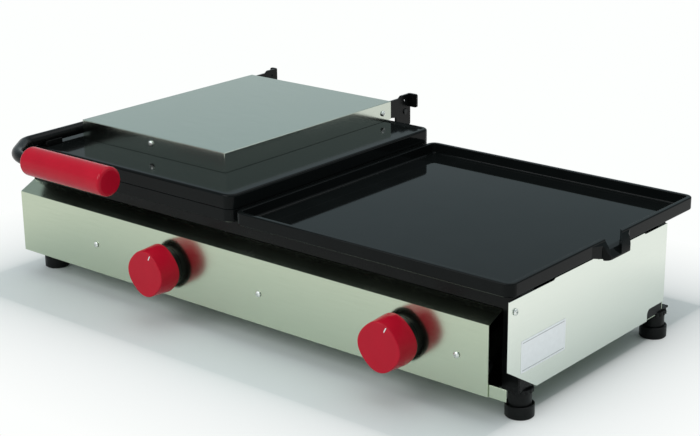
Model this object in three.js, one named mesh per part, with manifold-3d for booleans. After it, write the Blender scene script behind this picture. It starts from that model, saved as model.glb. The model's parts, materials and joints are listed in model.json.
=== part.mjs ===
// Countertop gas cooker: a hinged press on the left, an open griddle tray on the right
// Millimetres, +Z up. Drawn with x = 0 at the left side, y = 0 at the front panel, z = 0 under the box
import * as THREE from 'three';
import { mergeVertices } from 'three/addons/utils/BufferGeometryUtils.js';
import Module from 'manifold-3d';

const wasm = await Module();
wasm.setup();

// Driving sizes of the box
const pressWidth = 378.7;
const plateSpacing = 3;
const trayWidth = 386.3;
const bodyDepth = 322;
const panelHeight = 110.2;
const frontTopDrop = 19.4;
const bevelDepth = 23.8;
const bevelRise = 10.8;
const openSlotWidth = 23.3;
const sheet = 1.2;

// Where the plates lie on the box
const plateFront = 4.5;
const plateOverhang = 63;
const plateLift = 2;

// Clearances and one overrun for every cut
const seatGap = 0.3;
const runningGap = 0.4;
const overrun = 5;

// Rails under the plates
const railSheet = 2;
const railShelf = 24;
const railLegWidth = 21.5;
const railEarFront = 4;
const crossRailDepth = 18;
const crossRailDrop = 22;

// Side panels
const sideTabFront = 86.6;
const sideTabRearInset = 52.5;
const sideTabSlope = 3;
const cornerCutDepth = 56;
const cornerCutHeight = 33;
const rearNotchDepth = 37;
const rearNotchHeight = 14;
const rearNotchRadius = 6;

// Base pan
const lipHeight = 14;

// Foot brackets behind the cut corners of the side panels
const bracketOverlap = 8;
const bracketHeight = 40;
const bracketThickness = 2.5;
const bracketFloorWidth = 45;

// Feet
const footHeight = 32;
const footInset = 12;
const footFront = 43;
const footRadius = 12.8;
const footCollarRadius = 16;
const footCollarHeight = 13;
const footLipHeight = 1.6;
const footLipWidth = 1.4;
const footFlangeRadius = 15;
const footFlangeHeight = 4.5;
const footSoleChamfer = 1.2;
const footStudRadius = 4;

// Griddle tray
const trayRimHeight = 15.5;
const trayFloor = 1.8;
const trayRimWidth = 6;
const trayCornerRadius = 11;
const trayEdgeRound = 1.4;

// Drain spout in the tray's right wall
const spoutRootFront = 157;
const spoutRootWidth = 79;
const spoutLipFront = 185;
const spoutLipRear = 221;
const spoutChannelFront = 184.5;
const spoutChannelWidth = 35;
const spoutTipWidth = 20;
const spoutReach = 9;
const spoutDepth = 6.2;
const spoutSillDrop = 0.6;
const spoutLipDrop = 6;
const spoutCheekHeight = 2;
const spoutCrestShare = 0.35;

// Press plates
const pressCornerRadius = 13;
const lowerPlateHeight = 15.2;
const upperPlateHeight = 17.8;
const pressRimWidth = 6.5;
const pressRecess = 4;
const pressTopRecess = 1.5;
const ridgePitch = 12;
const ridgeWidth = 5;
const ridgeHeight = 3;
const pressEdgeRound = 3;

// Stainless cover box on the upper plate
const coverInsetLeft = 48.7;
const coverInsetRight = 72.6;
const coverFront = 70.5;
const coverOverhang = 6.7;
const coverHeight = 25;
const coverEdgeRound = 1;
const coverBracketWidth = 30;
const coverBracketHeight = 18;
const coverBracketDepth = 14;

// Hinge: its pins lie behind the plates, a little above the upper plate
const hingeSetback = 44;
const hingeRise = 2.7;
const armThickness = 3;
const armInsetLeft = 2;
const armInsetRight = 5;
const armInnerLength = 58;
const armTopDrop = 2.3;
const armStepStart = 12.6;
const armStepEnd = 8.6;
const armHeelRise = 23.2;
const armRearReach = 11.5;
const armThroatReach = 24.5;
const armThroatDrop = 5;
const armLobeDrop = 24.7;
const armLobeRadius = 8;
const armHoleRadius = 2.4;
const armHoleRise = 15.4;
const armFootWidth = 16;
const armTabBottomRise = 5.3;
const armTabTopRise = 23.7;
const armTabReachRight = 12.9;
const armTabReachLeft = 8;
const pinRadius = 3;
const pinHeadRadius = 4.2;
const pinHeadHeight = 1.2;
const postThickness = 3;
const postFrontReach = 18;
const postTopRadius = 8;
const postArmHeight = 40;
const postFlangeWidth = 26;
const postFlangeHeight = 52;
const postBoltRadius = 2.5;
const postBoltSpacing = 28;

// Handle tube and grip
const tubeRadius = 7.5;
const tubeWall = 1.6;
const tubeFromCover = 14.5;
const tubeRise = 10;
const tubeRearY = 168;
const tubeReach = 62;
const tubeFirstBendReach = 13;
const tubeFirstBendRadius = 24;
const tubeSlantWidth = 38.8;
const tubeSecondBendRadius = 55;
const tubeInGrip = 120;
const gripFromTube = 69.8;
const gripLength = 144.7;
const gripRadius = 18;
const gripEndRound = 7;
const clampFrontY = 125;
const clampLength = 37;
const clampWall = 2;
const saddleFrontY = 14;
const saddleLength = 26;
const saddleHeight = 7;

// Knobs
const knobLeftInset = 106;
const knobRightInset = 137.8;
const knobZ = 38;
const knobFaceRadius = 30.5;
const knobFluteDepth = 2.6;
const knobFlutes = 4;
const knobDepth = 28;
const knobStandOff = 10;
const knobEdgeRound = 2.2;
const knobCavityRadius = 25.6;
const knobCavityDepth = 14;
const knobBossRadius = 9;
const bezelRadius = 24.5;
const bezelHoleRadius = 7;
const stemRadius = 4;
const stemInKnob = 19;
const stemRear = 20;
const stemCollarRadius = 5.6;
const stemCollarWidth = 2;
const washerRadius = 8;
const washerThickness = 1.5;
const washerFront = 7;
const pushTravel = 3;

// Screws of the front panel, the side panels and the cover: M4 pan heads
const screwRadius = 2;
const screwHeadRadius = 3.7;
const screwHeadHeight = 2.2;
const screwLength = 9;
const fasciaScrewLeftInset = 144.7;
const fasciaScrewMiddleInset = 41;
const fasciaScrewRightInset = 63.3;
const fasciaScrewZ = 37.5;
const sideScrewY = 12.5;
const sideScrewRise = 5.9;
const coverScrewRise = 14.7;
const coverSideScrewInset = 18.2;
const coverSideScrewRise = 11.4;

// Gas train
const manifoldRadius = 8;
const manifoldY = 34;
const manifoldZ = 16;
const manifoldLeft = 24;
const manifoldRightInset = 46;
const clipWidth = 14;
const clipThickness = 1.5;
const valveWidth = 24;
const valveFront = 16;
const valveRear = 46;
const valveHeight = 24;
const valveSpigotRadius = 6;
const injectorRadius = 5;
const injectorLength = 16;
const burnerRadius = 15;
const burnerWall = 2;
const burnerFront = 66;
const burnerRearInset = 30;
const burnerLegWidth = 22;
const burnerLegThickness = 3;
const inletRadius = 6.5;
const inletHexRadius = 10;
const inletHexLength = 8;
const inletLength = 24;
const inletBarbs = 3;
const inletBarbRise = 1.2;
const inletBore = 3;

// Counts
const cornerSteps = 6;
const screwSides = 12;
const pinSides = 16;
const footSides = 20;
const pipeSides = 12;
const gripSides = 24;
const knobPoints = 40;
const tubeSteps = 48;

// Places that follow from the sizes
const trayLeft = pressWidth + plateSpacing;
const bodyWidth = trayLeft + trayWidth;
const plateRear = bodyDepth + plateOverhang;
const plateBottom = panelHeight + plateLift;
const frontTop = panelHeight - frontTopDrop;
const frontHeight = frontTop - bevelRise;
const railBottom = frontTop + seatGap;
const supportTop = plateBottom - seatGap;
const rightInner = bodyWidth - sheet;
const fasciaWidth = bodyWidth - openSlotWidth;
const footRear = bodyDepth;
const trayTop = plateBottom + trayRimHeight;
const trayFloorTop = plateBottom + trayFloor;
const spoutRootRear = spoutRootFront + spoutRootWidth;
const spoutTip = bodyWidth + spoutReach;
const lowerPlateTop = plateBottom + lowerPlateHeight;
const upperPlateBottom = lowerPlateTop + seatGap;
const upperPlateTop = upperPlateBottom + upperPlateHeight;
const upperPlateDeck = upperPlateTop - pressTopRecess;
const coverLeft = coverInsetLeft;
const coverRight = pressWidth - coverInsetRight;
const coverBottom = upperPlateDeck + seatGap;
const coverTop = coverBottom + coverHeight;
const coverRear = plateRear + coverOverhang;
const coverScrewX = (coverLeft + coverRight) / 2;
const coverScrewZ = coverBottom + coverScrewRise;
const coverSideScrewY = coverRear - coverSideScrewInset;
const coverSideScrewZ = coverBottom + coverSideScrewRise;
const hingeY = plateRear + hingeSetback;
const hingeZ = upperPlateDeck + hingeRise;
const armRearY = hingeY + armRearReach;
const armTopZ = coverTop - armTopDrop;
const armHeelZ = hingeZ + armHeelRise;
const tubeX = coverLeft - tubeFromCover;
const tubeZ = upperPlateDeck + tubeRise;
const tubeFrontY = -tubeReach;
const gripLeft = tubeX + gripFromTube;
const knobXs = { left: pressWidth - knobLeftInset, right: bodyWidth - knobRightInset };
const fasciaScrewXs = [
  fasciaScrewLeftInset,
  trayLeft + fasciaScrewMiddleInset,
  bodyWidth - fasciaScrewRightInset,
];
const railFace = bevelDepth + seatGap;
const sideScrewZ = railBottom + sideScrewRise;
const sideScrewYs = { left: railFace + railShelf / 2, right: sideScrewY };
const manifoldRight = bodyWidth - manifoldRightInset;
const burnerRear = bodyDepth - burnerRearInset;

// Solids and geometry helpers

function solid(geometry) {
  const bare = geometry.clone();
  bare.deleteAttribute('normal');
  bare.deleteAttribute('uv');
  const merged = mergeVertices(bare);
  const corners = merged.index.array;
  const kept = [];
  for (let i = 0; i < corners.length; i += 3) {
    const [a, b, c] = corners.slice(i, i + 3);
    if (a !== b && b !== c && c !== a) kept.push(a, b, c);
  }
  return new wasm.Manifold(new wasm.Mesh({
    numProp: 3,
    vertProperties: new Float32Array(merged.attributes.position.array),
    triVerts: new Uint32Array(kept),
  }));
}

function geometryOf(shape) {
  const mesh = shape.getMesh();
  const geometry = new THREE.BufferGeometry();
  geometry.setAttribute('position', new THREE.BufferAttribute(mesh.vertProperties, 3));
  geometry.setIndex(new THREE.BufferAttribute(mesh.triVerts, 1));
  geometry.computeVertexNormals();
  return geometry;
}

function joined(...shapes) {
  return shapes.reduce((whole, next) => whole.add(next));
}

function cut(shape, ...tools) {
  return tools.reduce((whole, tool) => whole.subtract(tool), shape);
}

function block([x0, y0, z0], [x1, y1, z1]) {
  const geometry = new THREE.BoxGeometry(x1 - x0, y1 - y0, z1 - z0);
  geometry.translate((x0 + x1) / 2, (y0 + y1) / 2, (z0 + z1) / 2);
  return solid(geometry);
}

function extruded(points, length, basis) {
  const shape = new THREE.Shape(points.map(([u, v]) => new THREE.Vector2(u, v)));
  const geometry = new THREE.ExtrudeGeometry(shape, { depth: length, bevelEnabled: false });
  geometry.applyMatrix4(basis);
  return geometry;
}

const axisX = new THREE.Vector3(1, 0, 0);
const axisY = new THREE.Vector3(0, 1, 0);
const axisZ = new THREE.Vector3(0, 0, 1);

// A (y, z) outline pulled along X
function alongX(points, x0, x1) {
  const basis = new THREE.Matrix4().makeBasis(axisY, axisZ, axisX).setPosition(x0, 0, 0);
  return solid(extruded(points, x1 - x0, basis));
}

// An (x, z) outline pulled along Y
function alongY(points, y0, y1) {
  const basis = new THREE.Matrix4().makeBasis(axisX, axisZ, axisY.clone().negate()).setPosition(0, y1, 0);
  return solid(extruded(points, y1 - y0, basis));
}

// An (x, y) outline pulled along Z
function alongZ(points, z0, z1) {
  const basis = new THREE.Matrix4().setPosition(0, 0, z0);
  return solid(extruded(points, z1 - z0, basis));
}

// A [radius, height] profile turned about an axis through a point
function turned(profile, sides, direction, [x, y, z]) {
  const geometry = new THREE.LatheGeometry(profile.map(([r, h]) => new THREE.Vector2(r, h)), sides);
  geometry.applyQuaternion(new THREE.Quaternion().setFromUnitVectors(axisY, direction));
  geometry.translate(x, y, z);
  return solid(geometry);
}

function rod(radius, length, sides, direction, start) {
  return turned([[0, 0], [radius, 0], [radius, length], [0, length]], sides, direction, start);
}

function arc(centreU, centreV, radius, fromDegrees, toDegrees) {
  const points = [];
  for (let i = 0; i <= cornerSteps; i += 1) {
    const share = i / cornerSteps;
    const angle = THREE.MathUtils.degToRad(fromDegrees + share * (toDegrees - fromDegrees));
    points.push([centreU + radius * Math.cos(angle), centreV + radius * Math.sin(angle)]);
  }
  return points;
}

function roundedRectangle(u0, u1, v0, v1, radius) {
  return [
    ...arc(u1 - radius, v0 + radius, radius, -90, 0),
    ...arc(u1 - radius, v1 - radius, radius, 0, 90),
    ...arc(u0 + radius, v1 - radius, radius, 90, 180),
    ...arc(u0 + radius, v0 + radius, radius, 180, 270),
  ];
}

// A block with rounded upright corners and a small chamfer round its top
function slab(x0, x1, y0, y1, z0, z1, radius, topRound) {
  const wall = alongZ(roundedRectangle(x0, x1, y0, y1, radius), z0, z1 - topRound);
  const inset = topRound * Math.SQRT1_2;
  const crown = alongZ(
    roundedRectangle(x0 + inset / 2, x1 - inset / 2, y0 + inset / 2, y1 - inset / 2, radius),
    z0,
    z1 - topRound / 2,
  );
  const cap = alongZ(
    roundedRectangle(x0 + topRound, x1 - topRound, y0 + topRound, y1 - topRound, radius),
    z0,
    z1,
  );
  return joined(wall, crown, cap);
}

const steel = { color: 0xb4bca8, roughness: 0.32, metalness: 0.9 };
const black = { color: 0x17191a, roughness: 0.4, metalness: 0.1 };
const castBlack = { color: 0x2b3132, roughness: 0.45, metalness: 0.3 };
const rubber = { color: 0x121414, roughness: 0.7, metalness: 0 };
const red = { color: 0xa01424, roughness: 0.3, metalness: 0 };
const brass = { color: 0xb08a3c, roughness: 0.35, metalness: 0.9 };
const zinc = { color: 0x8f9496, roughness: 0.4, metalness: 0.8 };

const group = new THREE.Group();
const leftmost = footInset - footCollarRadius;
const frontmost = tubeFrontY - gripRadius;
group.position.set(-(leftmost + spoutTip) / 2, -(frontmost + armRearY) / 2, footHeight);

function place(name, shape, finish) {
  const mesh = new THREE.Mesh(geometryOf(shape), new THREE.MeshStandardMaterial(finish));
  mesh.name = name;
  group.add(mesh);
}

// A pan head screw: its head's underside is at the start, its shank runs against the direction
function screw(direction, [x, y, z], length = screwLength) {
  const profile = [
    [0, -length],
    [screwRadius, -length],
    [screwRadius, 0],
    [screwHeadRadius, 0],
    [screwHeadRadius, screwHeadHeight / 2],
    [screwHeadRadius * Math.SQRT1_2, screwHeadHeight],
    [0, screwHeadHeight],
  ];
  return turned(profile, screwSides, direction, [x, y, z]);
}

function hole(radius, direction, [x, y, z], length, sides = screwSides) {
  const start = new THREE.Vector3(x, y, z).addScaledVector(direction, -length / 2);
  return rod(radius, length, sides, direction, start.toArray());
}

const toFront = axisY.clone().negate();
const toLeft = axisX.clone().negate();
const screwHole = screwRadius + seatGap;

// Front panel, folded from one sheet
{
  const outline = [
    [0, 0],
    [sheet, 0],
    [sheet, frontHeight - sheet / 2],
    [bevelDepth, frontTop - sheet],
    [bevelDepth, frontTop],
    [0, frontHeight],
  ];
  const holes = fasciaScrewXs.map((x) => hole(screwHole, axisY, [x, 0, fasciaScrewZ], overrun * 2));
  for (const x of Object.values(knobXs)) {
    holes.push(hole(bezelHoleRadius, axisY, [x, 0, knobZ], overrun * 2));
  }
  place('front_panel', cut(alongX(outline, sheet + seatGap, fasciaWidth), ...holes), steel);
}

// Base pan with its front lip, notched round the four feet
{
  const inner = sheet + seatGap;
  const lipFront = sheet + seatGap;
  const lipRear = lipFront + sheet;
  const profile = [
    [lipFront, 0],
    [bodyDepth, 0],
    [bodyDepth, sheet],
    [lipRear, sheet],
    [lipRear, lipHeight],
    [lipFront, lipHeight],
  ];
  const reach = footFlangeRadius + runningGap;
  const sides = [[-overrun, footInset + reach], [bodyWidth - footInset - reach, bodyWidth + overrun]];
  const notches = sides.flatMap(([x0, x1]) => [
    block([x0, lipRear, -overrun], [x1, footFront + reach, lipHeight]),
    block([x0, footRear - reach, -overrun], [x1, bodyDepth + overrun, lipHeight]),
  ]);
  place('base_pan', cut(alongX(profile, inner, bodyWidth - inner), ...notches), steel);
}

// Side panels with the raised tab and the cut lower corners
function sidePanel(x0, x1, frontTopCorner, screwY) {
  const front = sheet + seatGap;
  const tabRear = bodyDepth - sideTabRearInset;
  const notchFront = bodyDepth - rearNotchDepth;
  const outline = [
    [cornerCutDepth, 0],
    [notchFront, 0],
    ...arc(notchFront + rearNotchRadius, rearNotchHeight - rearNotchRadius, rearNotchRadius, 180, 90),
    [bodyDepth, rearNotchHeight],
    [bodyDepth, panelHeight],
    [tabRear + sideTabSlope, panelHeight],
    [tabRear, supportTop],
    [sideTabFront, supportTop],
    [sideTabFront - sideTabSlope, panelHeight],
    ...frontTopCorner,
    [front, cornerCutHeight],
  ];
  const screwPlace = hole(screwHole, axisX, [x0, screwY, sideScrewZ], overrun * 2);
  return cut(alongX(outline, x0, x1), screwPlace);
}
{
  const front = sheet + seatGap;
  const bevelled = [[bevelDepth, panelHeight], [bevelDepth, frontTop], [front, frontHeight]];
  place('side_panel_left', sidePanel(0, sheet, bevelled, sideScrewYs.left), steel);
  const square = [[front, panelHeight]];
  place('side_panel_right', sidePanel(rightInner, bodyWidth, square, sideScrewYs.right), steel);
}

// Rear panel between the side panels, on the base pan
const rearPanelFront = bodyDepth - sheet - seatGap;
const postXs = {
  left: coverLeft + armInsetLeft + armThickness + runningGap,
  right: coverRight - armInsetRight - armThickness - runningGap - postThickness,
};
const flangeXs = {
  left: [postXs.left, postXs.left + postFlangeWidth],
  right: [postXs.right + postThickness - postFlangeWidth, postXs.right + postThickness],
};
const flangeTop = supportTop - crossRailDrop;
const postBoltZs = [
  flangeTop - (postFlangeHeight - postBoltSpacing) / 2,
  flangeTop - (postFlangeHeight + postBoltSpacing) / 2,
];
const postBoltXs = {
  left: (flangeXs.left[0] + postThickness + flangeXs.left[1]) / 2,
  right: (flangeXs.right[0] + flangeXs.right[1] - postThickness) / 2,
};
{
  const low = [sheet + seatGap, rearPanelFront, sheet + seatGap];
  const high = [rightInner - seatGap, rearPanelFront + sheet, panelHeight];
  const inletPlace = [manifoldLeft, bodyDepth, manifoldZ];
  const inletHole = hole(inletHexRadius + runningGap, axisY, inletPlace, overrun * 2);
  const boltHoles = [];
  for (const x of Object.values(postBoltXs)) {
    for (const z of postBoltZs) {
      boltHoles.push(hole(postBoltRadius + seatGap, axisY, [x, bodyDepth, z], overrun * 2));
    }
  }
  const bracketTop = sheet + seatGap + bracketThickness + seatGap;
  const bracketReach = bracketFloorWidth + seatGap;
  const bracketNotches = [low[0] + bracketReach, high[0] + overrun].map((x1) => (
    block([x1 - bracketReach - overrun, rearPanelFront - overrun, 0], [x1, bodyDepth + overrun, bracketTop])
  ));
  place('rear_panel', cut(block(low, high), inletHole, ...boltHoles, ...bracketNotches), steel);
}

// Front rail: black band with a shelf under the plates, a leg at each end and ears for the side screws
{
  const left = sheet + seatGap;
  const right = rightInner - seatGap;
  const face = railFace;
  const band = block([left, face, railBottom], [right, face + railSheet, supportTop]);
  const shelf = block([left, face, supportTop - railSheet], [right, face + railShelf, supportTop]);
  const legFoot = sheet + seatGap;
  const legs = [left, right - railLegWidth].map((x) => (
    block([x, face, legFoot], [x + railLegWidth, face + railSheet, railBottom + overrun])
  ));
  const earTop = supportTop - railSheet;
  const ears = [
    block([left, face, railBottom], [left + railSheet, face + railShelf, earTop + railSheet / 2]),
    block([right - railSheet, railEarFront, railBottom], [right, face + railSheet, earTop]),
  ];
  const earHoles = [[left, sideScrewYs.left], [right, sideScrewYs.right]].map(([x, y]) => (
    hole(screwHole, axisX, [x, y, sideScrewZ], overrun * 2)
  ));
  place('front_rail', cut(joined(band, shelf, ...legs, ...ears), ...earHoles), black);
}

// Rear and centre rails carry the plates
const shelfRear = railFace + railShelf;
const rearRailFront = rearPanelFront - seatGap - crossRailDepth;
{
  const left = sheet + seatGap;
  const right = rightInner - seatGap;
  const rear = rearPanelFront - seatGap;
  const outline = [
    [rearRailFront, supportTop - railSheet],
    [rear - railSheet, supportTop - railSheet],
    [rear - railSheet, supportTop - crossRailDrop],
    [rear, supportTop - crossRailDrop],
    [rear, supportTop],
    [rearRailFront, supportTop],
  ];
  place('rear_rail', alongX(outline, left, right), black);

  const middle = (pressWidth + trayLeft) / 2;
  const half = crossRailDepth / 2;
  const channel = [
    [middle - half, supportTop - crossRailDrop],
    [middle - half + railSheet, supportTop - crossRailDrop],
    [middle - half + railSheet, supportTop - railSheet],
    [middle + half - railSheet, supportTop - railSheet],
    [middle + half - railSheet, supportTop - crossRailDrop],
    [middle + half, supportTop - crossRailDrop],
    [middle + half, supportTop],
    [middle - half, supportTop],
  ];
  place('centre_rail', alongY(channel, shelfRear + seatGap, rearRailFront - seatGap), black);
}

// Black brackets that fill the cut corners, lie on the pan and hold the feet's studs
function footBracket(inner, towards, [wallFront, wallRear], [floorFront, floorRear], height, [x, y]) {
  const floor = sheet + seatGap;
  const wall = [inner, inner + towards * bracketThickness].sort((a, b) => a - b);
  const base = [inner, inner + towards * bracketFloorWidth].sort((a, b) => a - b);
  return cut(
    joined(
      block([wall[0], wallFront, floor], [wall[1], wallRear, height]),
      block([base[0], floorFront, floor], [base[1], floorRear, floor + bracketThickness]),
    ),
    hole(footStudRadius + seatGap, axisZ, [x, y, floor], overrun * 2),
  );
}
for (const [side, inner, towards] of [
  ['left', sheet + seatGap, 1],
  ['right', rightInner - seatGap, -1],
]) {
  const footX = towards > 0 ? footInset : bodyWidth - footInset;
  const frontYs = [railFace + railSheet + seatGap, cornerCutDepth + bracketOverlap];
  const front = footBracket(inner, towards, frontYs, frontYs, bracketHeight, [footX, footFront]);
  const rearFront = bodyDepth - rearNotchDepth - bracketOverlap;
  const wallYs = [rearFront, rearPanelFront - seatGap];
  const floorYs = [rearFront, footRear + footFlangeRadius];
  const rearHeight = rearNotchHeight + bracketOverlap;
  const rear = footBracket(inner, towards, wallYs, floorYs, rearHeight, [footX, footRear]);
  place(`foot_bracket_front_${side}`, front, black);
  place(`foot_bracket_rear_${side}`, rear, black);
}

// Feet: a cylinder under a flange, with a wider collar and its raised lip
{
  const collarTop = -footHeight + footCollarHeight;
  const flangeTop = sheet;
  const studTop = sheet + seatGap + bracketThickness;
  const profile = [
    [0, -footHeight],
    [footCollarRadius - footSoleChamfer, -footHeight],
    [footCollarRadius, -footHeight + footSoleChamfer],
    [footCollarRadius, collarTop + footLipHeight],
    [footCollarRadius - footLipWidth, collarTop + footLipHeight],
    [footCollarRadius - footLipWidth, collarTop],
    [footRadius, collarTop],
    [footRadius, flangeTop - footFlangeHeight],
    [footFlangeRadius, flangeTop - footFlangeHeight],
    [footFlangeRadius, flangeTop],
    [footStudRadius, flangeTop],
    [footStudRadius, studTop],
    [0, studTop],
  ];
  const rows = [['front', footFront], ['rear', footRear]];
  const columns = [['left', footInset], ['right', bodyWidth - footInset]];
  for (const [row, y] of rows) {
    for (const [column, x] of columns) {
      place(`foot_${row}_${column}`, turned(profile, footSides, axisZ, [x, y, 0]), rubber);
    }
  }
}

// Griddle tray: floor, rim all round and the drain spout
{
  const right = bodyWidth;
  const wallInner = right - trayRimWidth;
  const blank = slab(
    trayLeft, right, plateFront, plateRear, plateBottom, trayTop, trayCornerRadius, trayEdgeRound,
  );
  const hollow = alongZ(
    roundedRectangle(
      trayLeft + trayRimWidth,
      wallInner,
      plateFront + trayRimWidth,
      plateRear - trayRimWidth,
      trayCornerRadius - trayRimWidth / 2,
    ),
    trayFloorTop,
    trayTop + overrun,
  );
  const spoutTopZ = trayTop - trayEdgeRound;
  const spoutBottomZ = plateBottom - spoutDepth;
  const spoutPlan = [
    [wallInner, spoutRootFront],
    [right, spoutRootFront],
    ...arc(right, spoutLipFront, spoutReach, -75, 0),
    ...arc(right, spoutLipRear, spoutReach, 0, 75),
    [right, spoutRootRear],
    [wallInner, spoutRootRear],
  ];
  const cutFront = spoutRootFront - overrun;
  const cutRear = spoutRootRear + overrun;
  const lipZ = trayFloorTop - spoutLipDrop;
  const topCut = alongY([
    [right, spoutTopZ],
    [right + spoutReach / 2, spoutTopZ - (spoutTopZ - lipZ) * spoutCrestShare],
    [spoutTip, lipZ + spoutCheekHeight],
    [spoutTip + overrun, lipZ + spoutCheekHeight],
    [spoutTip + overrun, trayTop + overrun],
    [right, trayTop + overrun],
  ], cutFront, cutRear);
  const bottomCut = alongY([
    [wallInner - overrun, spoutBottomZ - overrun],
    [right + spoutReach / 3, spoutBottomZ - overrun],
    [right + spoutReach / 3, spoutBottomZ],
    [right + seatGap, plateBottom],
    [wallInner - overrun, plateBottom],
  ], cutFront, cutRear);
  const channelRear = spoutChannelFront + spoutChannelWidth;
  const tipRear = spoutChannelFront + spoutTipWidth;
  const rearSlope = (spoutTipWidth - spoutChannelWidth) / spoutReach;
  const channelProfile = alongY([
    [wallInner - overrun, trayFloorTop],
    [wallInner, trayFloorTop],
    [right, trayFloorTop - spoutSillDrop],
    [spoutTip, lipZ],
    [spoutTip + overrun, lipZ],
    [spoutTip + overrun, trayTop + overrun],
    [wallInner - overrun, trayTop + overrun],
  ], spoutChannelFront, channelRear);
  const channelPlan = alongZ([
    [wallInner - overrun, spoutChannelFront],
    [spoutTip + overrun, spoutChannelFront],
    [spoutTip + overrun, tipRear + rearSlope * overrun],
    [right, channelRear],
    [wallInner - overrun, channelRear],
  ], spoutBottomZ, trayTop + overrun);
  const channel = channelProfile.intersect(channelPlan);
  const spout = cut(alongZ(spoutPlan, spoutBottomZ, spoutTopZ), topCut, bottomCut);
  place('griddle_tray', cut(joined(cut(blank, hollow), spout), channel), castBlack);
}

// Press plates with grilling ridges on the faces that meet
function ridges(z0, z1) {
  const low = pressRimWidth + ridgePitch;
  const count = Math.floor((pressWidth - 2 * low) / ridgePitch);
  const start = (pressWidth - count * ridgePitch) / 2;
  const bars = [];
  for (let i = 0; i <= count; i += 1) {
    const x = start + i * ridgePitch;
    bars.push(block(
      [x - ridgeWidth / 2, plateFront + pressRimWidth + ridgePitch, z0],
      [x + ridgeWidth / 2, plateRear - pressRimWidth - ridgePitch, z1],
    ));
  }
  return bars;
}
function pressHollow(z0, z1) {
  return alongZ(
    roundedRectangle(
      pressRimWidth,
      pressWidth - pressRimWidth,
      plateFront + pressRimWidth,
      plateRear - pressRimWidth,
      pressCornerRadius - pressRimWidth,
    ),
    z0,
    z1,
  );
}
{
  const plan = roundedRectangle(0, pressWidth, plateFront, plateRear, pressCornerRadius);
  const lowerFloor = lowerPlateTop - pressRecess;
  const lowerRidges = ridges(lowerFloor - seatGap, lowerFloor + ridgeHeight);
  const lowerHollow = pressHollow(lowerFloor, lowerPlateTop + overrun);
  const lower = cut(alongZ(plan, plateBottom, lowerPlateTop), lowerHollow);
  place('lower_press_plate', joined(lower, ...lowerRidges), castBlack);

  const upperFloor = upperPlateBottom + pressRecess;
  const whole = slab(
    0, pressWidth, plateFront, plateRear, upperPlateBottom, upperPlateTop, pressCornerRadius, pressEdgeRound,
  );
  const coverSeat = block(
    [coverLeft - seatGap, plateRear - pressRimWidth - overrun, upperPlateDeck],
    [coverRight + seatGap, plateRear + overrun, upperPlateTop + overrun],
  );
  const upper = cut(
    whole,
    pressHollow(upperPlateBottom - overrun, upperFloor),
    pressHollow(upperPlateDeck, upperPlateTop + overrun),
    coverSeat,
  );
  const upperRidges = ridges(upperFloor - ridgeHeight, upperFloor + seatGap);
  place('upper_press_plate', joined(upper, ...upperRidges), castBlack);
}

// Cover box, open below, with slots in its rear wall for the arms
const armXs = {
  left: coverLeft + armInsetLeft,
  right: coverRight - armInsetRight - armThickness,
};
{
  const outer = slab(
    coverLeft, coverRight, coverFront, coverRear, coverBottom, coverTop, coverEdgeRound, coverEdgeRound,
  );
  const inner = block(
    [coverLeft + sheet, coverFront + sheet, coverBottom - overrun],
    [coverRight - sheet, coverRear - sheet, coverTop - sheet],
  );
  const slots = Object.values(armXs).map((x) => block(
    [x - runningGap, coverRear - overrun, coverBottom - overrun],
    [x + armThickness + runningGap, coverRear + overrun, armTopZ + runningGap],
  ));
  const screwHoles = [
    hole(screwHole, axisY, [coverScrewX, coverFront, coverScrewZ], overrun * 2),
    hole(screwHole, axisX, [coverLeft, coverSideScrewY, coverSideScrewZ], overrun),
    hole(screwHole, axisX, [coverRight, coverSideScrewY, coverSideScrewZ], overrun),
  ];
  place('press_cover', cut(outer, inner, ...slots, ...screwHoles), steel);

  const back = coverFront + sheet + seatGap;
  const x0 = coverScrewX - coverBracketWidth / 2;
  const x1 = coverScrewX + coverBracketWidth / 2;
  const bracket = joined(
    block([x0, back, coverBottom], [x1, back + railSheet, coverBottom + coverBracketHeight]),
    block([x0, back, coverBottom], [x1, back + coverBracketDepth, coverBottom + railSheet]),
  );
  const bracketHole = hole(screwHole, axisY, [coverScrewX, back, coverScrewZ], overrun * 2);
  place('cover_bracket', cut(bracket, bracketHole), zinc);
}

// Hinge arms
function hingeArm(side) {
  const x0 = armXs[side];
  const x1 = x0 + armThickness;
  const start = plateRear - armInnerLength;
  const tabBottom = hingeZ + armTabBottomRise;
  const tabTop = hingeZ + armTabTopRise;
  const throatY = plateRear + armThroatReach;
  const lobeCentreZ = hingeZ - armLobeDrop + armLobeRadius;
  const outline = [
    [start, coverBottom],
    [coverRear, coverBottom],
    [throatY, hingeZ - armThroatDrop],
    ...arc(throatY + armLobeRadius, lobeCentreZ, armLobeRadius, 180, 270),
    ...arc(armRearY - armLobeRadius, lobeCentreZ, armLobeRadius, 270, 360),
    [armRearY, armHeelZ],
    [hingeY - armStepEnd, armHeelZ],
    [hingeY - armStepStart, armTopZ],
    [start, armTopZ],
  ];
  const outward = side === 'left' ? -1 : 1;
  const reach = side === 'left' ? armTabReachLeft : armTabReachRight;
  const tabXs = [outward < 0 ? x0 - reach : x0, outward < 0 ? x1 : x1 + reach];
  const tab = block([tabXs[0], armRearY - armThickness, tabBottom], [tabXs[1], armRearY, tabTop]);
  const footXs = [outward < 0 ? x0 : x1 - armFootWidth, outward < 0 ? x0 + armFootWidth : x1];
  const footRearY = plateRear - armThickness * 2;
  const foot = block([footXs[0], start, coverBottom], [footXs[1], footRearY, coverBottom + railSheet]);
  const middle = (x0 + x1) / 2;
  return cut(
    joined(alongX(outline, x0, x1), tab, foot),
    hole(pinRadius + seatGap, axisX, [middle, hingeY, hingeZ], overrun * 2, pinSides),
    hole(armHoleRadius, axisX, [middle, hingeY, hingeZ + armHoleRise], overrun * 2),
    hole(screwHole, axisX, [middle, coverSideScrewY, coverSideScrewZ], overrun * 2),
  );
}

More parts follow.
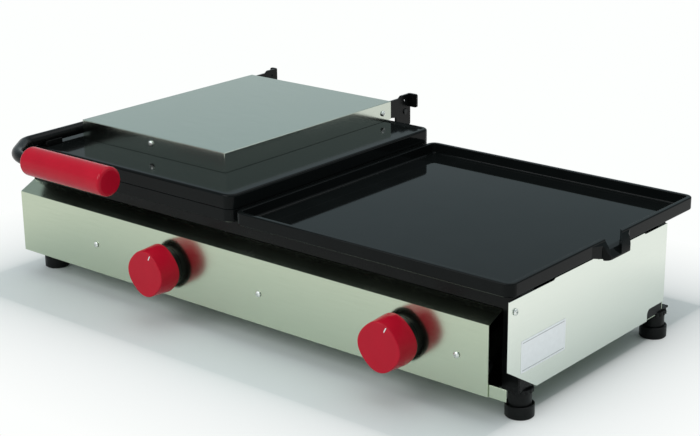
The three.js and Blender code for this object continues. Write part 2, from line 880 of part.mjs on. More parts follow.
// Hinge posts, bolted to the rear panel
function hingePost(side) {
  const x0 = postXs[side];
  const x1 = x0 + postThickness;
  const flangeFront = rearPanelFront + sheet + seatGap;
  const lowest = flangeTop - postFlangeHeight;
  const front = hingeY - postFrontReach;
  const outline = [
    [flangeFront, lowest],
    [front, lowest + postArmHeight / 2],
    [hingeY + postTopRadius, lowest + postArmHeight],
    ...arc(hingeY, hingeZ, postTopRadius, 0, 180),
    [front, hingeZ - postTopRadius * 2],
    [front, flangeTop + postThickness],
    [flangeFront + postThickness, flangeTop],
    [flangeFront, flangeTop],
  ];
  const [f0, f1] = flangeXs[side];
  const flange = block([f0, flangeFront, lowest], [f1, flangeFront + postThickness, flangeTop]);
  const boltHoles = postBoltZs.map((z) => (
    hole(postBoltRadius + seatGap, axisY, [postBoltXs[side], flangeFront, z], overrun * 2)
  ));
  return cut(
    joined(alongX(outline, x0, x1), flange),
    hole(pinRadius + seatGap, axisX, [x0, hingeY, hingeZ], overrun * 2, pinSides),
    ...boltHoles,
  );
}

for (const side of ['left', 'right']) {
  place(`hinge_arm_${side}`, hingeArm(side), black);
  place(`hinge_post_${side}`, hingePost(side), black);

  const outward = side === 'left' ? toLeft : axisX;
  const armFace = side === 'left' ? armXs.left : armXs.right + armThickness;
  const grip = armThickness + runningGap + postThickness + 2 * seatGap;
  const profile = [
    [0, -grip - pinHeadHeight],
    [pinHeadRadius, -grip - pinHeadHeight],
    [pinHeadRadius, -grip],
    [pinRadius, -grip],
    [pinRadius, 0],
    [pinHeadRadius, 0],
    [pinHeadRadius * Math.SQRT1_2, pinHeadHeight],
    [0, pinHeadHeight],
  ];
  const start = armFace + outward.x * seatGap;
  place(`hinge_pin_${side}`, turned(profile, pinSides, outward, [start, hingeY, hingeZ]), zinc);

  const flangeRear = rearPanelFront + sheet + seatGap + postThickness + seatGap;
  postBoltZs.forEach((z, index) => {
    const bolt = [
      [0, -screwLength],
      [postBoltRadius, -screwLength],
      [postBoltRadius, 0],
      [postBoltRadius * 2, 0],
      [postBoltRadius * 2, postBoltRadius],
      [0, postBoltRadius],
    ];
    const shape = turned(bolt, screwSides, axisY, [postBoltXs[side], flangeRear, z]);
    place(`post_bolt_${side}_${index + 1}`, shape, zinc);
  });
}

// A level route through corners, each rounded to its own radius
class RoundedRoute extends THREE.Curve {
  constructor(corners, radii, height) {
    super();
    this.height = height;
    this.stretches = [];
    let from = corners[0];
    radii.forEach((radius, index) => {
      const corner = corners[index + 1];
      const coming = corner.clone().sub(corners[index]).normalize();
      const going = corners[index + 2].clone().sub(corner).normalize();
      const turn = Math.acos(coming.dot(going));
      const cutBack = radius * Math.tan(turn / 2);
      const bendStart = corner.clone().addScaledVector(coming, -cutBack);
      const inward = going.clone().addScaledVector(coming, -Math.cos(turn)).normalize();
      this.stretches.push({ from, along: coming, length: from.distanceTo(bendStart) });
      this.stretches.push({ from: bendStart, along: coming, inward, radius, length: radius * turn });
      from = corner.clone().addScaledVector(going, cutBack);
    });
    const end = corners[corners.length - 1];
    this.stretches.push({ from, along: end.clone().sub(from).normalize(), length: from.distanceTo(end) });
    this.total = this.stretches.reduce((sum, { length }) => sum + length, 0);
  }

  getPoint(share, target = new THREE.Vector3()) {
    let rest = share * this.total;
    const last = this.stretches.length - 1;
    const index = this.stretches.findIndex(({ length }, i) => {
      if (rest <= length || i === last) return true;
      rest -= length;
      return false;
    });
    const { from, along, inward, radius } = this.stretches[index];
    const point = from.clone();
    if (radius) {
      const angle = rest / radius;
      point.addScaledVector(along, radius * Math.sin(angle));
      point.addScaledVector(inward, radius * (1 - Math.cos(angle)));
    } else {
      point.addScaledVector(along, rest);
    }
    return target.set(point.x, point.y, this.height);
  }
}

// Handle: the tube runs along the cover, turns twice and ends inside the grip
{
  const ring = (radius) => {
    const points = [];
    for (let i = 0; i < pipeSides; i += 1) {
      const angle = (i / pipeSides) * Math.PI * 2;
      points.push(new THREE.Vector2(radius * Math.cos(angle), radius * Math.sin(angle)));
    }
    return points;
  };
  const section = new THREE.Shape(ring(tubeRadius));
  section.holes.push(new THREE.Path(ring(tubeRadius - tubeWall)));
  const corners = [
    [tubeX, tubeRearY],
    [tubeX, -tubeFirstBendReach],
    [tubeX + tubeSlantWidth, tubeFrontY],
    [gripLeft + tubeInGrip, tubeFrontY],
  ].map(([x, y]) => new THREE.Vector2(x, y));
  const route = new RoundedRoute(corners, [tubeFirstBendRadius, tubeSecondBendRadius], tubeZ);
  const tube = new THREE.ExtrudeGeometry(section, { steps: tubeSteps, extrudePath: route });
  place('handle_tube', solid(tube), black);

  const length = gripLength;
  const round = gripEndRound;
  const profile = [
    [0, 0],
    [gripRadius - round, 0],
    [gripRadius - round * (1 - Math.SQRT1_2), round * (1 - Math.SQRT1_2)],
    [gripRadius, round],
    [gripRadius, length - round],
    [gripRadius - round * (1 - Math.SQRT1_2), length - round * (1 - Math.SQRT1_2)],
    [gripRadius - round, length],
    [0, length],
  ];
  const body = turned(profile, gripSides, axisX, [gripLeft, tubeFrontY, tubeZ]);
  const boreLength = tubeInGrip + seatGap + overrun;
  const boreStart = [gripLeft - overrun, tubeFrontY, tubeZ];
  const bore = rod(tubeRadius + seatGap, boreLength, pipeSides * 2, axisX, boreStart);
  place('handle_grip', cut(body, bore), red);

  const clampRadius = tubeRadius + clampWall;
  const clampXs = [tubeX - clampRadius, tubeX + clampRadius];
  const tubeCut = rod(tubeRadius + seatGap, tubeRearY, pipeSides * 2, axisY, [tubeX, 0, tubeZ]);
  const clamp = joined(
    block([clampXs[0], clampFrontY, coverBottom], [clampXs[1], clampFrontY + clampLength, tubeZ]),
    rod(clampRadius, clampLength, pipeSides * 2, axisY, [tubeX, clampFrontY, tubeZ]),
  );
  const saddle = block(
    [clampXs[0], saddleFrontY, coverBottom],
    [clampXs[1], saddleFrontY + saddleLength, coverBottom + saddleHeight],
  );
  place('handle_clamp', cut(clamp, tubeCut), black);
  place('handle_saddle', cut(saddle, tubeCut), black);
}

// Knobs, bezels, stems and their washers
function fluted(radius) {
  const points = [];
  for (let i = 0; i < knobPoints; i += 1) {
    const angle = (i / knobPoints) * Math.PI * 2;
    const wave = (1 - Math.cos(knobFlutes * angle)) / 2;
    const r = radius - knobFluteDepth * (1 - wave ** 2);
    points.push(new THREE.Vector2(-r * Math.cos(angle + Math.PI / 4), r * Math.sin(angle + Math.PI / 4)));
  }
  return points;
}
function knob(x) {
  const outline = new THREE.Shape(fluted(knobFaceRadius - knobEdgeRound));
  const geometry = new THREE.ExtrudeGeometry(outline, {
    depth: knobDepth - 2 * knobEdgeRound,
    bevelThickness: knobEdgeRound,
    bevelSize: knobEdgeRound,
    bevelSegments: 2,
  });
  geometry.rotateX(Math.PI / 2);
  geometry.translate(x, -knobStandOff - knobEdgeRound, knobZ);
  const rear = -knobStandOff;
  const behind = [x, rear + overrun, knobZ];
  const cavity = rod(knobCavityRadius, knobCavityDepth + overrun, pipeSides * 2, toFront, behind);
  const boss = rod(knobBossRadius, knobCavityDepth + overrun, pipeSides, toFront, [x, rear, knobZ]);
  const bore = rod(stemRadius + seatGap, stemInKnob + overrun, pipeSides, toFront, behind);
  return cut(joined(cut(solid(geometry), cavity), boss), bore);
}
for (const [side, x] of Object.entries(knobXs)) {
  place(`knob_${side}`, knob(x), red);

  const bezelFront = -knobStandOff + seatGap;
  const bezelDisc = rod(bezelRadius, -seatGap - bezelFront, pipeSides * 2, axisY, [x, bezelFront, knobZ]);
  const roomRadius = knobBossRadius + runningGap;
  const bossRoom = hole(roomRadius, axisY, [x, bezelFront, knobZ], overrun * 6, pipeSides * 2);
  place(`knob_bezel_${side}`, cut(bezelDisc, bossRoom), black);

  const tip = -knobStandOff - stemInKnob + seatGap;
  const collarFront = washerFront - stemCollarWidth - seatGap;
  const stem = [
    [0, tip],
    [stemRadius, tip],
    [stemRadius, collarFront],
    [stemCollarRadius, collarFront],
    [stemCollarRadius, collarFront + stemCollarWidth],
    [stemRadius, collarFront + stemCollarWidth],
    [stemRadius, stemRear],
    [0, stemRear],
  ];
  place(`valve_stem_${side}`, turned(stem, pipeSides, axisY, [x, 0, knobZ]), brass);

  const washer = rod(washerRadius, washerThickness, pipeSides, axisY, [x, washerFront, knobZ]);
  const washerBore = rod(stemRadius + seatGap, overrun * 4, pipeSides, axisY, [x, 0, knobZ]);
  place(`stem_washer_${side}`, cut(washer, washerBore), zinc);

  const half = valveWidth / 2;
  const bodyBlock = block(
    [x - half, valveFront, knobZ - valveHeight / 2],
    [x + half, valveRear, knobZ + valveHeight / 2],
  );
  const spigotBottom = manifoldZ + manifoldRadius + seatGap;
  const spigotLength = knobZ - valveHeight / 2 - spigotBottom + overrun;
  const spigot = rod(valveSpigotRadius, spigotLength, pipeSides, axisZ, [x, manifoldY, spigotBottom]);
  const stemBore = rod(stemRadius + seatGap, stemRear + pushTravel, pipeSides, axisY, [x, seatGap, knobZ]);
  const outlet = rod(injectorRadius * 2, overrun, pipeSides, axisY, [x, valveRear - seatGap, knobZ]);
  const injector = [
    [0, 0],
    [injectorRadius, 0],
    [injectorRadius, injectorLength / 2],
    [injectorRadius / 2, injectorLength],
    [0, injectorLength],
  ];
  const injectorStart = valveRear + overrun - seatGap * 2;
  const jet = turned(injector, pipeSides, axisY, [x, injectorStart, knobZ]);
  const valveShape = joined(bodyBlock, spigot, outlet, jet);
  place(`valve_${side}`, cut(valveShape, stemBore), brass);
}

// Burners: a tube with an open mouth, on two legs
for (const [side, x] of Object.entries(knobXs)) {
  const inner = burnerRadius - burnerWall;
  const length = burnerRear - burnerFront;
  const profile = [
    [inner, 0],
    [burnerRadius, 0],
    [burnerRadius, length],
    [0, length],
    [0, length - burnerWall],
    [inner, length - burnerWall],
    [inner, 0],
  ];
  const tube = turned(profile, pipeSides * 2, axisY, [x, burnerFront, knobZ]);
  const legs = [burnerFront + burnerLegWidth, burnerRear - burnerLegWidth].map((y) => block(
    [x - burnerLegWidth / 2, y, sheet + seatGap],
    [x + burnerLegWidth / 2, y + burnerLegThickness, knobZ - inner - burnerWall / 2],
  ));
  place(`burner_${side}`, joined(tube, ...legs), zinc);
}

// Gas manifold: a cross pipe with a branch to the rear
{
  const corner = [manifoldLeft, manifoldY, manifoldZ];
  const cross = rod(manifoldRadius, manifoldRight - manifoldLeft, pipeSides, axisX, corner);
  const branchEnd = rearPanelFront - inletHexLength;
  const branch = rod(manifoldRadius, branchEnd - manifoldY, pipeSides, axisY, corner);
  place('gas_manifold', joined(cross, branch), zinc);

  const hexFront = branchEnd + seatGap;
  const barbStart = inletHexLength * 2;
  const barbPitch = (inletLength - inletHexLength) / inletBarbs;
  const profile = [[inletBore, 0], [inletHexRadius, 0], [inletHexRadius, barbStart]];
  for (let i = 0; i < inletBarbs; i += 1) {
    const h = barbStart + i * barbPitch;
    profile.push([inletRadius, h]);
    profile.push([inletRadius, h + barbPitch / 4]);
    profile.push([inletRadius - inletBarbRise, h + barbPitch]);
  }
  const top = barbStart + inletBarbs * barbPitch;
  profile.push([inletBore, top], [inletBore, 0]);
  place('gas_inlet', turned(profile, pipeSides, axisY, [manifoldLeft, hexFront, manifoldZ]), brass);
}

// Clips that hold the manifold to the front panel's screws: a shelf over the pipe and an upright
fasciaScrewXs.forEach((x, index) => {
  const shelfFront = sheet * 2 + seatGap * 2;
  const shelfBottom = manifoldZ + manifoldRadius + seatGap;
  const top = fasciaScrewZ + screwHeadRadius * 2;
  const front = sheet + seatGap;
  const upright = block(
    [x - clipWidth / 2, front, shelfBottom],
    [x + clipWidth / 2, front + clipThickness, top],
  );
  const shelf = block(
    [x - clipWidth / 2, shelfFront, shelfBottom],
    [x + clipWidth / 2, manifoldY, shelfBottom + clipThickness],
  );
  const screwPlace = hole(screwHole, axisY, [x, front, fasciaScrewZ], overrun * 2);
  place(`manifold_clip_${index + 1}`, cut(joined(upright, shelf), screwPlace), zinc);
  place(`fascia_screw_${index + 1}`, screw(toFront, [x, -seatGap, fasciaScrewZ]), zinc);
});

// Side and cover screws
const shortScrew = screwLength / 2;
place('side_screw_left', screw(toLeft, [-seatGap, sideScrewYs.left, sideScrewZ], shortScrew), zinc);
const sideScrewPlace = [bodyWidth + seatGap, sideScrewYs.right, sideScrewZ];
place('side_screw_right', screw(axisX, sideScrewPlace, shortScrew), zinc);
const frontScrewPlace = [coverScrewX, coverFront - seatGap, coverScrewZ];
place('cover_screw_front', screw(toFront, frontScrewPlace, shortScrew), zinc);
place('cover_screw_left', screw(toLeft, [coverLeft - seatGap, coverSideScrewY, coverSideScrewZ]), zinc);
place('cover_screw_right', screw(axisX, [coverRight + seatGap, coverSideScrewY, coverSideScrewZ]), zinc);

export default group;
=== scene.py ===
# Looks of a countertop gas cooker with a hinged press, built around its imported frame
import json
import math

import bmesh
import bpy
from mathutils import Matrix, Vector

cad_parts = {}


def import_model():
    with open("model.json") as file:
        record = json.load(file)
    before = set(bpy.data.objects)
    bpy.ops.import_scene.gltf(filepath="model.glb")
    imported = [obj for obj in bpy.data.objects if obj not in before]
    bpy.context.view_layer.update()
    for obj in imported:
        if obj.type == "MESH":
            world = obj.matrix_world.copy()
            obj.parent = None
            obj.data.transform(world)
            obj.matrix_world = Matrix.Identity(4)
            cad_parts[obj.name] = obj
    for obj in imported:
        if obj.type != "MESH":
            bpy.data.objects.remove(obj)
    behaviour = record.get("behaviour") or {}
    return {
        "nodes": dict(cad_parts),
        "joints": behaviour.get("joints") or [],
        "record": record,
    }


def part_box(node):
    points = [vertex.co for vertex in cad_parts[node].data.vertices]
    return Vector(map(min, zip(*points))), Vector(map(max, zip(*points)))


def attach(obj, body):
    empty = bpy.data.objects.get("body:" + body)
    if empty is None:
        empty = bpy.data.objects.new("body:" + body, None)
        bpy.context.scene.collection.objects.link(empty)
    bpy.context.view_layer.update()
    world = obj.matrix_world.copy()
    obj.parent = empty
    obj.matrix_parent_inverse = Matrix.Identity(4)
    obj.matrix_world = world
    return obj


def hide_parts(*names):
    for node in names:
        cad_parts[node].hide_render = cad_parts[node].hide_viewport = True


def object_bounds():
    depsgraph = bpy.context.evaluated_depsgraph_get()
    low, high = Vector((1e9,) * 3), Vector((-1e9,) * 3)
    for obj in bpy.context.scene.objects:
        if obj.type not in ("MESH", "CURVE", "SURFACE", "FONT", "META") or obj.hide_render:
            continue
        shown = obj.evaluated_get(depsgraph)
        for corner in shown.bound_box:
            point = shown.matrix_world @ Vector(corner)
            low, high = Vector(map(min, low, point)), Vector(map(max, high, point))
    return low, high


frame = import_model()
cad_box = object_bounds()

LID = "press_lid"
BASE = "cooker_body"
MM = 0.001

# The photograph's camera, in the frame's metres and degrees
CAMERA_PLACE = (1.2180, -1.41905, 0.7276)
CAMERA_YAW = 40.02
CAMERA_PITCH = 18.15
CAMERA_ROLL = -0.58
SENSOR_WIDTH = 36.0
FOCAL_PIXELS = 1590.0
PHOTO_WIDTH = 700.0
PHOTO_HEIGHT = 436.0
PRINCIPAL_X = 352.0
PRINCIPAL_Y = 212.0
CAMERA_CLIP = (0.05, 100)

# Smoothness of round pieces
CORNER_STEPS = 10
ROUND_STEPS = 8
EDGE_STEPS = 6
FOLD_STEPS = 2
ROUND_SIDES = 96
SMALL_SIDES = 40
SHARP_ANGLE = math.radians(32)
FLAT_ANGLE = math.radians(1)
WELD_DISTANCE = 0.0005 * MM
NODE_WELD_DISTANCE = 0.001 * MM
LEAST_CORNER = 0.4 * MM

# Room round fitted pieces, and how far a cutting tool runs past what it cuts
SEAT_GAP = 0.3 * MM
SLOT_GAP = 0.4 * MM
SPARE = 5 * MM


# Mesh tools

def linked(name, data):
    """A new object of the scene that holds a mesh, a lamp or a camera."""
    made = bpy.data.objects.new(name, data)
    bpy.context.scene.collection.objects.link(made)
    return made


def mesh_of(name, points, faces):
    """A closed mesh with its faces pointing out."""
    mesh = bpy.data.meshes.new(name)
    mesh.from_pydata([tuple(point) for point in points], [], faces)
    shape = bmesh.new()
    shape.from_mesh(mesh)
    bmesh.ops.remove_doubles(shape, verts=shape.verts, dist=WELD_DISTANCE)
    bmesh.ops.recalc_face_normals(shape, faces=shape.faces)
    shape.to_mesh(mesh)
    shape.free()
    shade(mesh)
    return mesh


def shade(mesh):
    """Smooth shading, with a crease where faces meet past the sharp angle."""
    mesh.shade_smooth()
    mesh.set_sharp_from_angle(angle=SHARP_ANGLE)


def piece(name, mesh, body, look, slot, *stands_for):
    """A piece of the visual model that rides on a body and may stand for frame nodes."""
    made = linked(name, mesh)
    mesh.materials.clear()
    mesh.materials.append(LOOKS[look])
    flattened = made.modifiers.new("weighted_normals", "WEIGHTED_NORMAL")
    flattened.keep_sharp = True
    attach(made, body)
    if stands_for:
        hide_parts(*stands_for)
    return made


def stand_in(node, kind, mesh, look, slot):
    """A piece in place of one frame node, on that node's body."""
    return piece(f"{node}_{kind}", mesh, node_body(node), look, slot, node)


def node_body(node):
    """The body that holds a frame node."""
    groups = frame["record"]["behaviour"]["bodies"]
    return next(body for body, nodes in groups.items() if node in nodes)


def arc(centre_u, centre_v, radius, start, end, steps=CORNER_STEPS):
    """Points of an arc, from start to end in degrees."""
    points = []
    for step in range(steps + 1):
        angle = math.radians(start + (end - start) * step / steps)
        points.append((centre_u + radius * math.cos(angle), centre_v + radius * math.sin(angle)))
    return points


def angles(count):
    """The angles of so many points round a circle."""
    return [2 * math.pi * i / count for i in range(count)]


def rounded_rectangle(x0, x1, y0, y1, radius):
    return [
        *arc(x1 - radius, y0 + radius, radius, -90, 0),
        *arc(x1 - radius, y1 - radius, radius, 0, 90),
        *arc(x0 + radius, y1 - radius, radius, 90, 180),
        *arc(x0 + radius, y0 + radius, radius, 180, 270),
    ]


def loft(name, loops, caps=True):
    """Faces from each closed loop of points to the next, with flat ends."""
    count = len(loops[0])
    points = [point for loop in loops for point in loop]
    faces = []
    for row in range(len(loops) - 1):
        for i in range(count):
            j = (i + 1) % count
            low = row * count
            faces.append((low + i, low + j, low + count + j, low + count + i))
    if caps:
        faces.append(tuple(range(count)))
        faces.append(tuple(range(len(points) - count, len(points))))
    return mesh_of(name, points, faces)


def stacked(name, rectangle, radius, profile, least=LEAST_CORNER):
    """A body with rounded upright corners, from a profile of insets from its walls and heights."""
    x0, x1, y0, y1 = rectangle
    loops = []
    for inset, z in profile:
        ring = rounded_rectangle(x0 + inset, x1 - inset, y0 + inset, y1 - inset, max(radius - inset, least))
        loops.append([(x, y, z) for x, y in ring])
    return loft(name, loops)


def turned(name, profile, axis, place, sides=ROUND_SIDES):
    """A profile of (radius, height) turned about an axis through a place."""
    turn = Vector((0, 0, 1)).rotation_difference(Vector(axis)).to_matrix()
    points = []
    faces = []
    rings = []
    for radius, height in profile:
        if radius <= 0:
            rings.append([len(points)])
            points.append(turn @ Vector((0, 0, height)) + Vector(place))
            continue
        ring = []
        for angle in angles(sides):
            ring.append(len(points))
            flat = Vector((radius * math.cos(angle), radius * math.sin(angle), height))
            points.append(turn @ flat + Vector(place))
        rings.append(ring)
    for low, high in zip(rings, rings[1:]):
        for side in range(sides):
            following = (side + 1) % sides
            if len(low) == 1:
                faces.append((low[0], high[following], high[side]))
            elif len(high) == 1:
                faces.append((low[side], low[following], high[0]))
            else:
                faces.append((low[side], low[following], high[following], high[side]))
    return mesh_of(name, points, faces)


def pulled(name, outline, axis, low, high):
    """An outline pulled along X, Y or Z, with flat ends."""
    place = {
        "x": lambda u, v, w: (w, u, v),
        "y": lambda u, v, w: (u, w, v),
        "z": lambda u, v, w: (u, v, w),
    }[axis]
    return loft(name, [[place(u, v, w) for u, v in outline] for w in (low, high)])


def rounded(mesh, width, steps=3):
    """The mesh with its sharp edges rounded."""
    helper = linked("helper", mesh)
    bevel = helper.modifiers.new("bevel", "BEVEL")
    bevel.width = width
    bevel.segments = steps
    bevel.limit_method = "ANGLE"
    bevel.angle_limit = SHARP_ANGLE
    bevel.use_clamp_overlap = True
    return evaluated(helper, mesh)


def evaluated(helper, mesh):
    """The helper's mesh with its modifiers applied. The helper is deleted."""
    view = bpy.context.evaluated_depsgraph_get()
    made = bpy.data.meshes.new_from_object(helper.evaluated_get(view), depsgraph=view)
    made.name = mesh.name
    bpy.data.objects.remove(helper)
    bpy.data.meshes.remove(mesh)
    shade(made)
    return made


def combined(mesh, tools, operation="DIFFERENCE"):
    """The mesh cut by, or joined with, other meshes."""
    helper = linked("helper", mesh)
    others = []
    for tool in tools:
        other = linked("tool", tool)
        boolean = helper.modifiers.new("boolean", "BOOLEAN")
        boolean.operation = operation
        boolean.solver = "EXACT"
        boolean.object = other
        others.append(other)
    made = evaluated(helper, mesh)
    for other in others:
        data = other.data
        bpy.data.objects.remove(other)
        bpy.data.meshes.remove(data)
    return made


def cuboid(name, low, high):
    (x0, y0, z0), (x1, y1, z1) = low, high
    return pulled(name, [(x0, y0), (x1, y0), (x1, y1), (x0, y1)], "z", z0, z1)


def merged(name, meshes):
    """Several meshes as one, side by side."""
    whole = bmesh.new()
    for mesh in meshes:
        whole.from_mesh(mesh)
    made = bpy.data.meshes.new(name)
    whole.to_mesh(made)
    whole.free()
    for mesh in meshes:
        bpy.data.meshes.remove(mesh)
    shade(made)
    return made


def copy_of(node):
    """A copy of a frame node's mesh, with its flat faces whole again."""
    mesh = frame["nodes"][node].data.copy()
    mesh.name = node + "_copy"
    shape = bmesh.new()
    shape.from_mesh(mesh)
    bmesh.ops.remove_doubles(shape, verts=shape.verts, dist=NODE_WELD_DISTANCE)
    bmesh.ops.dissolve_limit(shape, angle_limit=FLAT_ANGLE, verts=shape.verts, edges=shape.edges)
    shape.to_mesh(mesh)
    shape.free()
    return mesh


def middle(node):
    """The middle of a frame node's box."""
    low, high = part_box(node)
    return tuple((a + b) / 2 for a, b in zip(low, high))


def front_face():
    """The front panel's place along Y, from which the spout, tube and label are set out."""
    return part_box("front_panel")[0].y


# Materials

class Look:
    """A material's nodes, made a step at a time."""

    def __init__(self, name):
        self.material = bpy.data.materials.new(name)
        self.material.use_nodes = True
        self.tree = self.material.node_tree
        self.shader = self.tree.nodes["Principled BSDF"]
        self.place = self.tree.nodes.new("ShaderNodeTexCoord").outputs["Object"]

    def set(self, **values):
        for name, value in values.items():
            self.shader.inputs[name.replace("_", " ")].default_value = value

    def noise(self, scale, stretch=(1, 1, 1), detail=4, roughness=0.55):
        """A noise of so many grains to the metre, stretched where a number is small."""
        mapping = self.tree.nodes.new("ShaderNodeMapping")
        mapping.inputs["Scale"].default_value = [scale * share for share in stretch]
        self.tree.links.new(self.place, mapping.inputs["Vector"])
        noise = self.tree.nodes.new("ShaderNodeTexNoise")
        noise.inputs["Scale"].default_value = 1
        noise.inputs["Detail"].default_value = detail
        noise.inputs["Roughness"].default_value = roughness
        self.tree.links.new(mapping.outputs["Vector"], noise.inputs["Vector"])
        return noise.outputs["Fac"]

    def ranged(self, value, low, high, start=0.3, end=0.7):
        node = self.tree.nodes.new("ShaderNodeMapRange")
        for name, number in zip(("From Min", "From Max", "To Min", "To Max"), (start, end, low, high)):
            node.inputs[name].default_value = number
        self.tree.links.new(value, node.inputs["Value"])
        return node.outputs["Result"]

    def colour(self, value, first, second):
        node = self.tree.nodes.new("ShaderNodeMix")
        node.data_type = "RGBA"
        node.inputs["A"].default_value = (*first, 1)
        node.inputs["B"].default_value = (*second, 1)
        self.tree.links.new(value, node.inputs["Factor"])
        self.tree.links.new(node.outputs["Result"], self.shader.inputs["Base Color"])

    def roughness(self, value, low, high):
        self.tree.links.new(self.ranged(value, low, high), self.shader.inputs["Roughness"])

    def bump(self, value, depth, strength):
        node = self.tree.nodes.new("ShaderNodeBump")
        node.inputs["Strength"].default_value = strength
        node.inputs["Distance"].default_value = depth
        self.tree.links.new(value, node.inputs["Height"])
        self.tree.links.new(node.outputs["Normal"], self.shader.inputs["Normal"])


# The stainless of the front, rear, base and the other stainless frame nodes is a darker copy of the side
# panels' steel: painted shade.
STEEL_LIGHT = (0.53, 0.595, 0.465)
STEEL_DARK = (0.49, 0.555, 0.43)


def brushed_steel(name, grain, roughness=0.2, light=STEEL_LIGHT, dark=STEEL_DARK):
    """Stainless sheet with a fine grain along one axis and faint clouds."""
    look = Look(name)
    look.set(Metallic=1.0)
    stretch = [1.0, 1.0, 1.0]
    stretch["xyz".index(grain)] = 0.012
    lines = look.noise(2600, stretch, detail=3)
    clouds = look.noise(14, detail=5)
    look.colour(look.ranged(lines, 0, 1), dark, light)
    look.roughness(clouds, roughness * 0.92, roughness * 1.12)
    look.bump(lines, depth=0.002 * MM, strength=0.4)
    return look.material


def enamel(name, colour, roughness, gloss, orange_peel):
    """Black enamel or paint on metal: faint smears and a faint orange peel."""
    look = Look(name)
    look.set(Metallic=0.0, Specular_IOR_Level=gloss)
    smears = look.noise(22, detail=6)
    look.colour(look.ranged(smears, 0, 1), colour, [share * 1.35 for share in colour])
    look.roughness(look.noise(60, detail=5), roughness * 0.85, roughness * 1.2)
    look.bump(look.noise(700, detail=2), depth=orange_peel * MM, strength=0.35)
    return look.material


def cast_iron(name, colour, roughness, gloss):
    """Black coated casting, ground smooth: a faint grainy skin."""
    look = Look(name)
    look.set(Specular_IOR_Level=gloss)
    grains = look.noise(1500, detail=4, roughness=0.6)
    look.colour(look.ranged(grains, 0, 1), colour, [share * 1.5 for share in colour])
    look.roughness(look.noise(90, detail=5), roughness * 0.85, roughness * 1.2)
    look.bump(grains, depth=0.006 * MM, strength=0.3)
    return look.material


def plastic(name, colour, roughness, shift=1.12):
    """Moulded plastic with a fine skin and slight flow marks."""
    look = Look(name)
    look.set(Specular_IOR_Level=0.15)
    flow = look.noise(35, (1, 1, 0.4), detail=4)
    look.colour(look.ranged(flow, 0, 1), colour, [min(share * shift, 1) for share in colour])
    look.roughness(flow, roughness * 0.9, roughness * 1.15)
    look.bump(look.noise(900, detail=2), depth=0.003 * MM, strength=0.3)
    return look.material


def rubber(name, colour):
    look = Look(name)
    look.set(Specular_IOR_Level=0.2)
    dust = look.noise(120, detail=6)
    look.colour(look.ranged(dust, 0, 1, 0.45, 0.75), colour, [share * 2 for share in colour])
    look.roughness(dust, 0.3, 0.45)
    look.bump(look.noise(1800, detail=3), depth=0.02 * MM, strength=0.4)
    return look.material


def plated(name, light, dark, roughness):
    """Zinc plate or turned brass: cloudy, with fine turning marks."""
    look = Look(name)
    look.set(Metallic=1.0)
    clouds = look.noise(160, detail=5)
    look.colour(look.ranged(clouds, 0, 1), dark, light)
    look.roughness(clouds, roughness * 0.8, roughness * 1.25)
    look.bump(look.noise(2500, detail=2), depth=0.006 * MM, strength=0.4)
    return look.material


LOOKS = {
    "steel_x_painted_shade": brushed_steel("steel_grain_x_painted_shade", "x", 0.2),
    # The side panels' stainless is a brighter copy of the same steel: painted light.
    "steel_y_painted_light": brushed_steel("steel_grain_y_painted_light", "y", 0.15, (0.78, 0.83, 0.76), (0.74, 0.79, 0.72)),
    "steel_cover": brushed_steel("steel_cover", "x", 0.15, (0.60, 0.64, 0.56), (0.52, 0.57, 0.50)),
    "paint": enamel("black_satin_paint", (0.004, 0.0045, 0.0045), 0.25, 0.12, 0.01),
    "enamel": enamel("black_enamel", (0.004, 0.005, 0.005), 0.05, 0.08, 0.003),
    "plate": cast_iron("black_cast_plate", (0.004, 0.005, 0.005), 0.08, 0.08),
    "red": plastic("red_plastic", (0.44, 0.006, 0.022), 0.22),
    "black_plastic": plastic("black_plastic", (0.003, 0.003, 0.003), 0.32),
    "rubber": rubber("black_rubber", (0.003, 0.0035, 0.0035)),
    "zinc": plated("zinc_plate", (0.85, 0.88, 0.85), (0.70, 0.73, 0.70), 0.35),
    "dark_zinc": plated("dark_zinc_plate", (0.03, 0.032, 0.032), (0.02, 0.021, 0.021), 0.35),
    "brass": plated("turned_brass", (0.72, 0.52, 0.2), (0.5, 0.34, 0.12), 0.3),
    "white": plastic("white_print", (0.78, 0.82, 0.82), 0.4, shift=1.04),
    "label": plated("label_plate", (0.86, 0.89, 0.91), (0.80, 0.83, 0.85), 0.35),
    "print_line": plastic("grey_print", (0.16, 0.19, 0.19), 0.45),
}
SLOT_LOOKS = {
    "stainless": "steel_x_painted_shade",
    "black_paint": "paint",
    "black_plate": "plate",
    "black_plastic": "black_plastic",
    "red_plastic": "red",
    "black_rubber": "rubber",
    "brass": "brass",
    "plated_steel": "zinc",
}


def dress_frame():
    """Every frame node takes the material of its slot."""
    for part in frame["record"]["subparts"]:
        mesh = frame["nodes"][part["node"]].data
        mesh.materials.clear()
        mesh.materials.append(LOOKS[SLOT_LOOKS[part["material_slot"]]])


dress_frame()


# Sheet metal: copies of the frame nodes with softly rounded folds

PANEL_EDGE = 0.5 * MM
SHEET_EDGE = 0.35 * MM
RAIL_EDGE = 0.6 * MM


def painted_steel(node, mesh, edge):
    """A black steel piece with softly rounded edges, in place of its frame node."""
    stand_in(node, "steel", rounded(mesh, edge, FOLD_STEPS), "paint", "black_paint")


